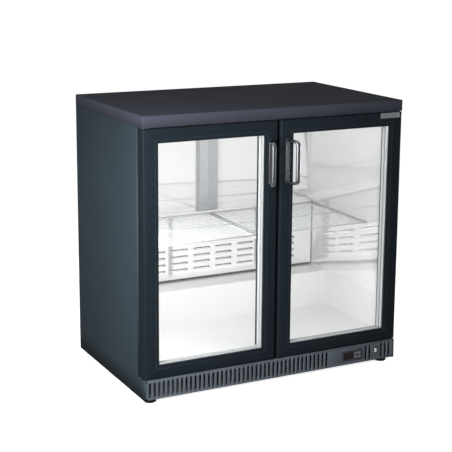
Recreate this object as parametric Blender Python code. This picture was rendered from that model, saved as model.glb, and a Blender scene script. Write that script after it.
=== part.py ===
"""Two-door glass-front under counter bottle cooler, in metres, +Z up, front facing -Y.

The origin is the centre of the bounding box at floor level. Every sub-part is one object.
"""

import math

import bmesh
import bpy
from mathutils import Vector

# Driving dimensions of the cabinet
WIDTH = 0.900
HEIGHT = 0.875
FRONT_Y = -0.251
BODY_FRONT_Y = -0.205
BACK_Y = 0.299
FOOT_HEIGHT = 0.015
PLINTH_TOP = 0.077
WORKTOP_THICKNESS = 0.035
SHEET = 0.0012
GAP = 0.0003

HALF_WIDTH = WIDTH / 2
WORKTOP_BOTTOM = HEIGHT - WORKTOP_THICKNESS
BODY_BOTTOM = FOOT_HEIGHT + GAP
BODY_TOP = WORKTOP_BOTTOM - GAP
INSIDE_HALF = HALF_WIDTH - SHEET - GAP

# Cold space: half width, floor, ceiling, back wall, and the step over the compressor
LINER_HALF = 0.405
LINER_FLOOR = 0.105
LINER_CEILING = 0.805
LINER_BACK = 0.249
LINER_WALL = 0.0015
STEP_FRONT = 0.124
STEP_TOP = 0.225
MACHINE_ROOM_FRONT = 0.1545
MACHINE_ROOM_TOP = 0.1955
AIR_DUCT_TOP = 0.062
MULLION_HALF = 0.030
SIDE_RETURN = 0.012

# Doors
DOOR_OUTER = 0.449
DOOR_INNER = 0.005
DOOR_BOTTOM = 0.080
DOOR_TOP = 0.837
DOOR_BACK_Y = -0.211
GLASS_OUTER = 0.400
GLASS_INNER = 0.051
GLASS_BOTTOM = 0.122
GLASS_TOP = 0.793
PIVOT_X = 0.434
PIVOT_Y = -0.231
PIN_RADIUS = 0.003
PIN_CLEARANCE = 0.0005
HANDLE_X = 0.029
HANDLE_LEAN = 0.013
HANDLE_BOTTOM = 0.637
HANDLE_TOP = 0.780
HANDLE_FRONT_Y = -0.299

# Evaporator cover and shelves
COVER_FRONT = 0.215
COVER_BOTTOM = 0.2345
COVER_TOP = 0.462
COVER_ROWS = 4
COVER_LOW_SLOT = 0.2605
COVER_SLOT_HEIGHT = 0.0090
COVER_ROW_PITCH = 0.0230
COVER_MIDDLE_X = 0.0070
COVER_SLOT_WIDTH = 0.0640
COVER_COLUMN_PITCH = 0.0840
SHELF_BOTTOM = 0.452
SHELF_THICKNESS = 0.005

# Plinth grille, its controller and its lamp switch
GRILLE_PITCH = 0.0151
GRILLE_SLOT = 0.0072
GRILLE_Y = -0.2495
CONTROLLER = (0.248, 0.325)
CONTROLLER_PLATE_LEFT = 0.202
CONTROLLER_Z = 0.045
CONTROLLER_HEIGHT = 0.035
CONTROLLER_Y = -0.2515
BUTTON_TRAVEL = 0.0008
BUTTON_HALF = (0.0050, 0.0042)
BUTTON_PLACES = {
    "set": (0.2995, 0.0512),
    "up": (0.3135, 0.0512),
    "down": (0.3135, 0.0388),
    "defrost": (0.2995, 0.0388),
}
SWITCH_X = 0.377
SWITCH_Z = 0.050
SWITCH_PIVOT_Y = GRILLE_Y + 0.0045
SWITCH_REST_TILT = 8.0

# Where the mains lead goes in through the rear panel
INLET_PLACE = (-0.400, BACK_Y - 0.0036, 0.1800)

SIDES = {"left": -1, "right": 1}


def clear_scene():
    for obj in list(bpy.data.objects):
        bpy.data.objects.remove(obj)


def material(name, colour, roughness, metallic=0.0, alpha=1.0):
    made = bpy.data.materials.new(name)
    made.use_nodes = True
    shader = made.node_tree.nodes["Principled BSDF"]
    shader.inputs["Base Color"].default_value = (*colour, 1.0)
    shader.inputs["Roughness"].default_value = roughness
    shader.inputs["Metallic"].default_value = metallic
    shader.inputs["Alpha"].default_value = alpha
    return made


def empty(name, place):
    made = bpy.data.objects.new(name, None)
    made.location = place
    bpy.context.collection.objects.link(made)
    return made


def add_object(name, shape, finish, parent=None, origin=(0.0, 0.0, 0.0), smooth=False):
    """Makes an object from a bmesh in world coordinates, with its origin on its parent or on origin."""
    place = Vector(parent.location) if parent else Vector(origin)
    bmesh.ops.translate(shape, vec=-place, verts=shape.verts)
    bmesh.ops.recalc_face_normals(shape, faces=shape.faces)
    mesh = bpy.data.meshes.new(name)
    shape.to_mesh(mesh)
    shape.free()
    if smooth:
        mesh.shade_smooth()
        mesh.set_sharp_from_angle(angle=math.radians(35))
    mesh.materials.append(finish)
    obj = bpy.data.objects.new(name, mesh)
    if parent:
        obj.parent = parent
    else:
        obj.location = place
    bpy.context.collection.objects.link(obj)
    return obj


def boolean(obj, shape, operation):
    """Adds an exact Boolean whose tool is a hidden object in world coordinates."""
    name = f"{obj.name}_{operation.lower()}_{len(obj.modifiers)}"
    tool = add_object(name, shape, obj.data.materials[0])
    tool.hide_render = True
    tool.display_type = "WIRE"
    modifier = obj.modifiers.new(operation.title(), "BOOLEAN")
    modifier.operation = operation
    modifier.solver = "EXACT"
    modifier.object = tool
    return obj


def cut(obj, shape):
    return boolean(obj, shape, "DIFFERENCE")


def join(obj, shape):
    return boolean(obj, shape, "UNION")


def bevel(obj, width, segments=2):
    modifier = obj.modifiers.new("Bevel", "BEVEL")
    modifier.width = width
    modifier.segments = segments
    modifier.limit_method = "ANGLE"
    modifier.angle_limit = math.radians(50)
    return obj


def hexahedron(points):
    """A six-sided solid from eight corners, numbered as box() makes them."""
    shape = bmesh.new()
    corners = [shape.verts.new(point) for point in points]
    for face in ((0, 1, 3, 2), (4, 6, 7, 5), (0, 4, 5, 1), (2, 3, 7, 6), (0, 2, 6, 4), (1, 5, 7, 3)):
        shape.faces.new([corners[i] for i in face])
    return shape


def box(low, high):
    xs, ys, zs = zip(low, high)
    return hexahedron([(x, y, z) for x in xs for y in ys for z in zs])


def placed(axis, u, v, w):
    """A point from two in-plane coordinates and its height along an axis: (y, z), (x, z) or (x, y)."""
    return {"x": (w, u, v), "y": (u, w, v), "z": (u, v, w)}[axis]


def prism(outline, axis, low, high):
    shape = bmesh.new()
    first = [shape.verts.new(placed(axis, u, v, low)) for u, v in outline]
    last = [shape.verts.new(placed(axis, u, v, high)) for u, v in outline]
    shape.faces.new(first)
    shape.faces.new(reversed(last))
    for i in range(len(outline)):
        j = (i + 1) % len(outline)
        shape.faces.new((first[i], last[i], last[j], first[j]))
    return shape


def turned(profile, axis, centre, steps=24):
    """Revolves (radius, height) points. The profile starts and ends on the axis."""
    shape = bmesh.new()
    rings = []
    for radius, height in profile:
        count = steps if radius > 0 else 1
        ring = []
        for i in range(count):
            turn = math.tau * i / steps
            u = radius * math.cos(turn)
            v = radius * math.sin(turn)
            point = Vector(placed(axis, u, v, height)) + Vector(centre)
            ring.append(shape.verts.new(point))
        rings.append(ring)
    for one, other in zip(rings, rings[1:]):
        for i in range(steps):
            j = (i + 1) % steps
            corners = [one[i % len(one)], one[j % len(one)], other[j % len(other)], other[i % len(other)]]
            shape.faces.new(list(dict.fromkeys(corners)))
    return shape


def frame_ring(outer, inner, profile):
    """Sweeps a closed section round a rectangle in the XZ plane, with mitred corners.

    outer and inner are (x low, z low, x high, z high). Each profile point is (which, away, y): away is the
    distance into the frame's section, measured from its outer or its inner rectangle.
    """
    shape = bmesh.new()
    loops = []
    for which, away, y in profile:
        x0, z0, x1, z1 = outer if which == "outer" else inner
        shift = away if which == "outer" else -away
        corners = (
            (x0 + shift, z0 + shift),
            (x1 - shift, z0 + shift),
            (x1 - shift, z1 - shift),
            (x0 + shift, z1 - shift),
        )
        loops.append([shape.verts.new((x, y, z)) for x, z in corners])
    for one, other in zip(loops, loops[1:] + loops[:1]):
        for i in range(4):
            j = (i + 1) % 4
            shape.faces.new((one[i], one[j], other[j], other[i]))
    return shape


def grid_plate(us, vs, is_open, axis, low, high):
    """A plate on grid lines us and vs, with a through hole in each cell that is_open names."""
    shape = bmesh.new()
    points = {}

    def point(i, j, level):
        key = (i, j, level)
        if key not in points:
            points[key] = shape.verts.new(placed(axis, us[i], vs[j], level))
        return points[key]

    def solid(i, j):
        return 0 <= i < len(us) - 1 and 0 <= j < len(vs) - 1 and not is_open(i, j)

    def wall(a, b):
        shape.faces.new((point(*a, low), point(*b, low), point(*b, high), point(*a, high)))

    for i in range(len(us) - 1):
        for j in range(len(vs) - 1):
            if not solid(i, j):
                continue
            for level in (low, high):
                corners = ((i, j), (i + 1, j), (i + 1, j + 1), (i, j + 1))
                shape.faces.new([point(a, b, level) for a, b in corners])
            if not solid(i - 1, j):
                wall((i, j), (i, j + 1))
            if not solid(i + 1, j):
                wall((i + 1, j), (i + 1, j + 1))
            if not solid(i, j - 1):
                wall((i, j), (i + 1, j))
            if not solid(i, j + 1):
                wall((i, j + 1), (i + 1, j + 1))
    return shape


def slot_lines(low, high, slot, pitch):
    """Grid lines of evenly spaced slots centred between two ends: solid, slot, solid ... solid."""
    count = int((high - low - slot) // pitch)
    first = (low + high - (count - 1) * pitch - slot) / 2
    lines = [low]
    for i in range(count):
        lines += [first + i * pitch, first + i * pitch + slot]
    return lines + [high]


def arc(centre, radius, start, end, steps):
    for i in range(steps + 1):
        turn = math.radians(start + (end - start) * i / steps)
        yield centre[0] + radius * math.cos(turn), centre[1] + radius * math.sin(turn)


def tube(path, half_width, half_depth, x, sides=10):
    """A flat oval bar along a path of (y, z) points in the plane at x, with closed ends."""
    shape = bmesh.new()
    rings = []
    for i, (y, z) in enumerate(path):
        before = path[max(i - 1, 0)]
        after = path[min(i + 1, len(path) - 1)]
        along = Vector((after[0] - before[0], after[1] - before[1])).normalized()
        ring = []
        for k in range(sides):
            turn = math.tau * (k + 0.5) / sides
            side = half_width * math.cos(turn)
            out = half_depth * math.sin(turn)
            ring.append(shape.verts.new((x + side, y - along[1] * out, z + along[0] * out)))
        rings.append(ring)
    for one, other in zip(rings, rings[1:]):
        for k in range(sides):
            n = (k + 1) % sides
            shape.faces.new((one[k], one[n], other[n], other[k]))
    shape.faces.new(rings[0])
    shape.faces.new(reversed(rings[-1]))
    return shape


def pipe(route, radius, sides=8):
    """A round pipe through points in space, with closed ends."""
    shape = bmesh.new()
    rings = []
    for i, point in enumerate(route):
        before = Vector(route[max(i - 1, 0)])
        after = Vector(route[min(i + 1, len(route) - 1)])
        along = (after - before).normalized()
        across = along.cross(Vector((0, 0, 1))).normalized()
        up = across.cross(along)
        ring = []
        for k in range(sides):
            turn = math.tau * k / sides
            offset = radius * (math.cos(turn) * across + math.sin(turn) * up)
            ring.append(shape.verts.new(Vector(point) + offset))
        rings.append(ring)
    for one, other in zip(rings, rings[1:]):
        for k in range(sides):
            n = (k + 1) % sides
            shape.faces.new((one[k], one[n], other[n], other[k]))
    shape.faces.new(rings[0])
    shape.faces.new(reversed(rings[-1]))
    return shape


def make_finishes():
    return {
        "panel": material("black_panel", (0.045, 0.060, 0.072), 0.45, 0.3),
        "worktop": material("black_worktop", (0.030, 0.033, 0.048), 0.45, 0.3),
        "frame": material("black_door_frame", (0.010, 0.013, 0.016), 0.35),
        "plinth": material("black_plinth", (0.060, 0.068, 0.078), 0.5),
        "black": material("black_plastic", (0.02, 0.02, 0.022), 0.5),
        "button": material("grey_plastic", (0.35, 0.36, 0.37), 0.5),
        "display": material("display_lens", (0.05, 0.01, 0.01), 0.15),
        "lamp": material("white_lens", (0.9, 0.92, 0.95), 0.3),
        "liner": material("bright_aluminium", (0.82, 0.83, 0.84), 0.25, 0.9),
        "steel": material("zinc_steel", (0.55, 0.56, 0.57), 0.4, 0.9),
        "chrome": material("chrome", (0.75, 0.76, 0.78), 0.12, 1.0),
        "wire": material("white_wire", (0.85, 0.86, 0.87), 0.4),
        "glass": material("glass", (0.85, 0.92, 0.92), 0.03, 0.0, 0.2),
        "bead": material("grey_bead", (0.21, 0.215, 0.22), 0.5),
        "gasket": material("grey_gasket", (0.12, 0.12, 0.12), 0.8),
        "foam": material("foam", (0.85, 0.80, 0.62), 0.9),
        "copper": material("copper", (0.72, 0.38, 0.24), 0.3, 1.0),
        "badge": material("silver_badge", (0.62, 0.63, 0.66), 0.3, 0.8),
        "rubber": material("black_rubber", (0.03, 0.03, 0.03), 0.8),
    }


def make_worktop(finish):
    pan = box((-HALF_WIDTH, FRONT_Y, WORKTOP_BOTTOM), (HALF_WIDTH, BACK_Y, HEIGHT))
    worktop = add_object("worktop", pan, finish["worktop"])
    bevel(worktop, 0.002)
    wall = 0.0015
    hollow = box(
        (-HALF_WIDTH + wall, FRONT_Y + wall, WORKTOP_BOTTOM - 0.01),
        (HALF_WIDTH - wall, BACK_Y - wall, HEIGHT - wall),
    )
    cut(worktop, hollow)
    clear = wall + GAP
    core = box(
        (-HALF_WIDTH + clear, FRONT_Y + clear, WORKTOP_BOTTOM),
        (HALF_WIDTH - clear, BACK_Y - clear, HEIGHT - clear),
    )
    add_object("worktop_core", core, finish["foam"])


def make_side_panel(side, sign, finish):
    outline = [
        (BODY_FRONT_Y, BODY_TOP),
        (BODY_FRONT_Y, PLINTH_TOP),
        (FRONT_Y, PLINTH_TOP),
        (FRONT_Y, BODY_BOTTOM),
        (BACK_Y, BODY_BOTTOM),
        (BACK_Y, BODY_TOP),
    ]
    outside = sign * HALF_WIDTH
    inside = sign * (HALF_WIDTH - SHEET)
    panel = add_object(f"side_panel_{side}", prism(outline, "x", outside, inside), finish["panel"])
    overlap = sign * (HALF_WIDTH - SHEET / 2)
    inner_edge = sign * (HALF_WIDTH - SIDE_RETURN)
    front_return = box(
        (min(overlap, inner_edge), BODY_FRONT_Y + 0.0001, PLINTH_TOP + 0.004),
        (max(overlap, inner_edge), BODY_FRONT_Y + 0.0001 + SHEET, BODY_TOP - 0.001),
    )
    join(panel, front_return)


def make_rear_panel(finish):
    low_slot = 0.040
    slot_pitch = 0.018
    slot_height = 0.007
    vs = [BODY_BOTTOM + 0.0003]
    for row in range(7):
        vs += [low_slot + row * slot_pitch, low_slot + row * slot_pitch + slot_height]
    vs.append(BODY_TOP - 0.0003)
    us = slot_lines(-INSIDE_HALF, INSIDE_HALF, 0.120, 0.140)
    plate = grid_plate(us, vs, lambda i, j: i % 2 == 1 and j % 2 == 1, "y", BACK_Y - 0.0042, BACK_Y - 0.003)
    panel = add_object("rear_panel", plate, finish["steel"])
    cord_hole = turned(((0.0, -0.01), (0.0093, -0.01), (0.0093, 0.01), (0.0, 0.01)), "y", INLET_PLACE, 16)
    cut(panel, cord_hole)
    gland = (
        (0.0, -0.018),
        (0.0090, -0.018),
        (0.0090, -0.0028),
        (0.0140, -0.0028),
        (0.0140, -0.0010),
        (0.0110, 0.0),
        (0.0035, 0.0),
        (0.0035, -0.014),
        (0.0, -0.014),
    )
    inlet = turned(gland, "y", (INLET_PLACE[0], BACK_Y, INLET_PLACE[2]), 16)
    add_object("mains_inlet_gland", inlet, finish["black"], smooth=True)


def make_base_tray(finish):
    wall = 0.0015
    low = BODY_BOTTOM
    front = GRILLE_Y + 0.002
    back = BACK_Y - 0.0045
    lip = low + 0.012
    outline = [
        (front, low),
        (back, low),
        (back, lip),
        (back - wall, lip),
        (back - wall, low + wall),
        (front + wall, low + wall),
        (front + wall, lip - 0.006),
        (front, lip - 0.006),
    ]
    add_object("base_tray", prism(outline, "x", -INSIDE_HALF, INSIDE_HALF), finish["steel"])
    foot = (
        (0.0, 0.0),
        (0.0170, 0.0),
        (0.0190, 0.0020),
        (0.0190, 0.0060),
        (0.0090, 0.0090),
        (0.0090, FOOT_HEIGHT),
        (0.0, FOOT_HEIGHT),
    )
    for end, y in (("front", -0.218), ("rear", 0.268)):
        for side, sign in SIDES.items():
            place = (sign * 0.418, y, 0.0)
            shape = turned(foot, "z", place, 20)
            add_object(f"foot_{end}_{side}", shape, finish["rubber"], origin=place, smooth=True)


def cavity_outline(away, front):
    """The cold space's outline in (y, z), grown outwards by away on every side but the front."""
    return [
        (front, LINER_FLOOR - away),
        (STEP_FRONT + away, LINER_FLOOR - away),
        (STEP_FRONT + away, STEP_TOP - away),
        (LINER_BACK + away, STEP_TOP - away),
        (LINER_BACK + away, LINER_CEILING + away),
        (front, LINER_CEILING + away),
    ]


def make_insulated_body(finish):
    frame_back = BODY_FRONT_Y + SHEET
    flange_front = frame_back + GAP
    flange_back = flange_front + LINER_WALL
    foam_front = flange_back + GAP
    foam_back = BACK_Y - 0.0045
    outline = [
        (foam_front, AIR_DUCT_TOP),
        (MACHINE_ROOM_FRONT, AIR_DUCT_TOP),
        (MACHINE_ROOM_FRONT, MACHINE_ROOM_TOP),
        (foam_back, MACHINE_ROOM_TOP),
        (foam_back, BODY_TOP - GAP),
        (foam_front, BODY_TOP - GAP),
    ]
    foam = add_object("foam_insulation", prism(outline, "x", -INSIDE_HALF, INSIDE_HALF), finish["foam"])
    clear = LINER_WALL + GAP
    hollow = prism(cavity_outline(clear, foam_front - 0.02), "x", -LINER_HALF - clear, LINER_HALF + clear)
    cut(foam, hollow)

    shell_half = LINER_HALF + LINER_WALL
    shell = prism(cavity_outline(LINER_WALL, flange_front), "x", -shell_half, shell_half)
    liner = add_object("inner_liner", shell, finish["liner"])
    flange_rim = 0.016
    flange = box(
        (-LINER_HALF - flange_rim, flange_front, LINER_FLOOR - flange_rim),
        (LINER_HALF + flange_rim, flange_back, LINER_CEILING + flange_rim),
    )
    join(liner, flange)
    cut(liner, prism(cavity_outline(0.0, flange_front - 0.02), "x", -LINER_HALF, LINER_HALF))

    frame_half = HALF_WIDTH - SIDE_RETURN - GAP
    outer = (-frame_half, PLINTH_TOP + GAP, frame_half, BODY_TOP - GAP)
    inner = (-LINER_HALF, LINER_FLOOR, LINER_HALF, LINER_CEILING)
    section = [
        ("outer", 0.0, BODY_FRONT_Y),
        ("inner", 0.0, BODY_FRONT_Y),
        ("inner", 0.0, frame_back),
        ("outer", 0.0, frame_back),
    ]
    add_object("front_frame", frame_ring(outer, inner, section), finish["frame"])

    wall = 0.0015
    depth = 0.040
    channel = [
        (-MULLION_HALF, BODY_FRONT_Y),
        (MULLION_HALF, BODY_FRONT_Y),
        (MULLION_HALF, BODY_FRONT_Y + depth),
        (MULLION_HALF - wall, BODY_FRONT_Y + depth),
        (MULLION_HALF - wall, BODY_FRONT_Y + wall),
        (-MULLION_HALF + wall, BODY_FRONT_Y + wall),
        (-MULLION_HALF + wall, BODY_FRONT_Y + depth),
        (-MULLION_HALF, BODY_FRONT_Y + depth),
    ]
    mullion = prism(channel, "z", LINER_FLOOR + GAP, LINER_CEILING - GAP)
    add_object("centre_mullion", mullion, finish["frame"])


def make_grille(finish):
    low = BODY_BOTTOM + GAP
    high = PLINTH_TOP - GAP
    us = slot_lines(-INSIDE_HALF, INSIDE_HALF, GRILLE_SLOT, GRILLE_PITCH)
    vs = [low, low + 0.0075, high - 0.0080, high]
    blank = (
        (CONTROLLER_PLATE_LEFT, CONTROLLER[1] + 0.003),
        (SWITCH_X - 0.009, SWITCH_X + 0.009),
    )

    def is_open(i, j):
        overlaps = any(us[i + 1] > left and us[i] < right for left, right in blank)
        return i % 2 == 1 and j == 1 and not overlaps

    plate = grid_plate(us, vs, is_open, "y", GRILLE_Y, GRILLE_Y + 0.0020)
    grille = add_object("front_grille", plate, finish["plinth"])
    top_low = (-INSIDE_HALF, GRILLE_Y + 0.0005, high - 0.0015)
    top_high = (INSIDE_HALF, BODY_FRONT_Y - GAP, high - 0.0001)
    join(grille, box(top_low, top_high))
    half = CONTROLLER_HEIGHT / 2 - 0.003
    cut(
        grille,
        box(
            (CONTROLLER[0] + 0.003, GRILLE_Y - 0.01, CONTROLLER_Z - half),
            (CONTROLLER[1] - 0.003, GRILLE_Y + 0.01, CONTROLLER_Z + half),
        ),
    )
    cut(
        grille,
        box(
            (SWITCH_X - 0.0065, GRILLE_Y - 0.01, SWITCH_Z - 0.0095),
            (SWITCH_X + 0.0065, GRILLE_Y + 0.01, SWITCH_Z + 0.0095),
        ),
    )


def make_controller(finish):
    left, right = CONTROLLER
    bottom = CONTROLLER_Z - CONTROLLER_HEIGHT / 2
    top = CONTROLLER_Z + CONTROLLER_HEIGHT / 2
    bezel_back = GRILLE_Y - GAP
    bezel = box((left, CONTROLLER_Y, bottom), (right, bezel_back, top))
    housing = add_object("controller_housing", bezel, finish["black"])
    inset = 0.0034
    case_low = (left + inset, CONTROLLER_Y + 0.0006, bottom + inset)
    case_high = (right - inset, BODY_FRONT_Y - 0.007, top - inset)
    join(housing, box(case_low, case_high))
    lens = ((left + 0.006, bottom + 0.006), (left + 0.042, top - 0.006))
    lens_back = CONTROLLER_Y + 0.0012
    cut(housing, box((lens[0][0], CONTROLLER_Y - 0.01, lens[0][1]), (lens[1][0], lens_back, lens[1][1])))
    window = box(
        (lens[0][0] + GAP, CONTROLLER_Y + 0.0001, lens[0][1] + GAP),
        (lens[1][0] - GAP, lens_back - GAP, lens[1][1] - GAP),
    )
    add_object("controller_display", window, finish["display"])
    well_depth = 0.005
    for name, (x, z) in BUTTON_PLACES.items():
        half_x, half_z = BUTTON_HALF
        clear = 0.0004
        cut(
            housing,
            box(
                (x - half_x - clear, CONTROLLER_Y - 0.01, z - half_z - clear),
                (x + half_x + clear, CONTROLLER_Y + well_depth, z + half_z + clear),
            ),
        )
        key_front = CONTROLLER_Y - 0.0010
        key_back = CONTROLLER_Y + well_depth - BUTTON_TRAVEL - 0.0004
        key = box((x - half_x, key_front, z - half_z), (x + half_x, key_back, z + half_z))
        holder = empty(f"{name}_button_slide", (x, key_front, z))
        add_object(f"button_{name}", key, finish["button"], parent=holder)


def make_lamp_switch(finish):
    half_x, half_z = 0.0085, 0.0115
    front = GRILLE_Y - GAP - 0.0012
    bezel_low = (SWITCH_X - half_x, front, SWITCH_Z - half_z)
    bezel_high = (SWITCH_X + half_x, GRILLE_Y - GAP, SWITCH_Z + half_z)
    bezel = box(bezel_low, bezel_high)
    switch = add_object("lamp_switch_body", bezel, finish["black"])
    join(
        switch,
        box(
            (SWITCH_X - 0.0062, front + 0.0004, SWITCH_Z - 0.0092),
            (SWITCH_X + 0.0062, GRILLE_Y + 0.016, SWITCH_Z + 0.0092),
        ),
    )
    cut(
        switch,
        box(
            (SWITCH_X - 0.0050, front - 0.01, SWITCH_Z - 0.0082),
            (SWITCH_X + 0.0050, GRILLE_Y + 0.010, SWITCH_Z + 0.0082),
        ),
    )
    reach = 0.0068
    outline = [
        (-0.0068, -reach),
        (-0.0056, 0.0),
        (-0.0068, reach),
        (0.0, reach * 0.9),
        (0.0030, 0.0),
        (0.0, -reach * 0.9),
    ]
    tilt = math.radians(SWITCH_REST_TILT)
    turned_outline = [
        (
            SWITCH_PIVOT_Y + y * math.cos(tilt) - z * math.sin(tilt),
            SWITCH_Z + y * math.sin(tilt) + z * math.cos(tilt),
        )
        for y, z in outline
    ]
    pivot = empty("lamp_switch_pivot", (SWITCH_X, SWITCH_PIVOT_Y, SWITCH_Z))
    rocker = prism(turned_outline, "x", SWITCH_X - 0.0046, SWITCH_X + 0.0046)
    add_object("lamp_switch_rocker", rocker, finish["lamp"], parent=pivot)


def make_hinge_brackets(finish):
    plate_half = 0.012
    for side, sign in SIDES.items():
        x = sign * PIVOT_X
        for end in ("upper", "lower"):
            if end == "upper":
                plate_low, plate_high = DOOR_TOP + 0.0005, WORKTOP_BOTTOM - GAP
                pin_low, pin_high = DOOR_TOP - 0.012, plate_high - 0.0005
            else:
                plate_low, plate_high = PLINTH_TOP + GAP, DOOR_BOTTOM - 0.0005
                pin_low, pin_high = plate_low + 0.0005, DOOR_BOTTOM + 0.012
            plate = box(
                (x - plate_half, PIVOT_Y - plate_half, plate_low),
                (x + plate_half, BODY_FRONT_Y - GAP, plate_high),
            )
            bracket = add_object(f"hinge_bracket_{end}_{side}", plate, finish["steel"])
            pin = ((0.0, pin_low), (PIN_RADIUS, pin_low), (PIN_RADIUS, pin_high), (0.0, pin_high))
            join(bracket, turned(pin, "z", (x, PIVOT_Y, 0.0), 16))


def rectangle(sign, outer_x, inner_x, low_z, high_z):
    """A door rectangle on either side of the middle as (x low, z low, x high, z high)."""
    ends = sorted((sign * outer_x, sign * inner_x))
    return ends[0], low_z, ends[1], high_z


def make_door(side, sign, finish):
    pivot = empty(f"door_{side}_pivot", (sign * PIVOT_X, PIVOT_Y, DOOR_BOTTOM))
    outer = rectangle(sign, DOOR_OUTER, DOOR_INNER, DOOR_BOTTOM, DOOR_TOP)
    glass = rectangle(sign, GLASS_OUTER, GLASS_INNER, GLASS_BOTTOM, GLASS_TOP)
    lip_back = FRONT_Y + 0.004
    rebate = 0.011
    section = [
        ("outer", 0.0, FRONT_Y + 0.003),
        ("outer", 0.001, FRONT_Y + 0.001),
        ("outer", 0.003, FRONT_Y),
        ("inner", 0.002, FRONT_Y),
        ("inner", 0.0, FRONT_Y + 0.002),
        ("inner", 0.0, lip_back),
        ("inner", rebate, lip_back),
        ("inner", rebate, DOOR_BACK_Y),
        ("outer", 0.001, DOOR_BACK_Y),
        ("outer", 0.0, DOOR_BACK_Y - 0.001),
    ]
    shape = frame_ring(outer, glass, section)
    frame = add_object(f"door_frame_{side}", shape, finish["frame"], parent=pivot)
    bore = PIN_RADIUS + PIN_CLEARANCE
    depth = 0.0135
    for low, high in ((DOOR_BOTTOM - 0.01, DOOR_BOTTOM + depth), (DOOR_TOP - depth, DOOR_TOP + 0.01)):
        hole = ((0.0, low), (bore, low), (bore, high), (0.0, high))
        cut(frame, turned(hole, "z", (sign * PIVOT_X, PIVOT_Y, 0.0), 16))

    grown = rebate - GAP - 0.0002
    x0, z0, x1, z1 = glass
    pane_outline = (x0 - grown, z0 - grown, x1 + grown, z1 + grown)
    pane = 0.004
    cavity = 0.012
    levels = {"outer_glass": lip_back + GAP}
    levels["spacer"] = levels["outer_glass"] + pane + GAP
    levels["inner_glass"] = levels["spacer"] + cavity + GAP
    for layer in ("outer_glass", "inner_glass"):
        a, b, c, d = pane_outline
        front = levels[layer]
        shape = box((a, front, b), (c, front + pane, d))
        add_object(f"door_{layer}_{side}", shape, finish["glass"], parent=pivot)
    front = levels["spacer"]
    spacer = [
        ("outer", 0.0, front),
        ("inner", 0.0, front),
        ("inner", 0.0, front + cavity),
        ("outer", 0.0, front + cavity),
    ]
    shape = frame_ring(pane_outline, glass, spacer)
    add_object(f"door_spacer_{side}", shape, finish["chrome"], parent=pivot)
    bead_front = levels["inner_glass"] + pane + GAP
    bead = [
        ("outer", 0.0, bead_front),
        ("inner", 0.0, bead_front),
        ("inner", 0.0, DOOR_BACK_Y - 0.003),
        ("inner", 0.003, DOOR_BACK_Y),
        ("outer", 0.0, DOOR_BACK_Y),
    ]
    shape = frame_ring(pane_outline, glass, bead)
    add_object(f"glazing_bead_{side}", shape, finish["bead"], parent=pivot)

    seal_outer = rectangle(sign, 0.431, 0.012, 0.088, 0.824)
    seal_inner = rectangle(sign, 0.4195, 0.0235, 0.0995, 0.8125)
    seal = [
        ("outer", 0.001, DOOR_BACK_Y + GAP),
        ("inner", 0.001, DOOR_BACK_Y + GAP),
        ("inner", 0.0, DOOR_BACK_Y + 0.002),
        ("inner", 0.001, BODY_FRONT_Y - 0.0005),
        ("outer", 0.001, BODY_FRONT_Y - 0.0005),
        ("outer", 0.0, DOOR_BACK_Y + 0.002),
    ]
    shape = frame_ring(seal_outer, seal_inner, seal)
    add_object(f"door_gasket_{side}", shape, finish["gasket"], parent=pivot)
    make_handle(side, sign, finish, pivot)


def make_handle(side, sign, finish, pivot):
    """A bow on a slim back plate. It leans away from the other door, so that its bar clears the knuckles."""
    x = sign * HANDLE_X
    half_width, half_depth = 0.0070, 0.0050
    bar_y = HANDLE_FRONT_Y + half_depth
    leg_low = HANDLE_BOTTOM + 0.0065
    leg_high = HANDLE_TOP - 0.0065
    radius = 0.013
    root_y = FRONT_Y - 0.0020
    path = [(root_y, leg_low)]
    path += list(arc((bar_y + radius, leg_low + radius), radius, 270, 180, 5))
    path += list(arc((bar_y + radius, leg_high - radius), radius, 180, 90, 5))
    path.append((root_y, leg_high))
    plate = box((x - 0.0075, FRONT_Y - GAP - 0.003, HANDLE_BOTTOM), (x + 0.0075, FRONT_Y - GAP, HANDLE_TOP))
    handle = add_object(f"door_handle_{side}", plate, finish["chrome"], parent=pivot)
    bar = tube(path, half_width, half_depth, x)
    for vert in bar.verts:
        vert.co.x += sign * HANDLE_LEAN * (root_y - vert.co.y) / (root_y - bar_y)
    join(handle, bar)


def make_badge(finish):
    """A blank plate at the outer end of the right door's top rail."""
    low, high = (0.366, FRONT_Y - 0.0015, 0.8192), (0.438, FRONT_Y - GAP, 0.8365)
    pivot = bpy.data.objects["door_right_pivot"]
    add_object("badge_plate", box(low, high), finish["badge"], parent=pivot)


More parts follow.
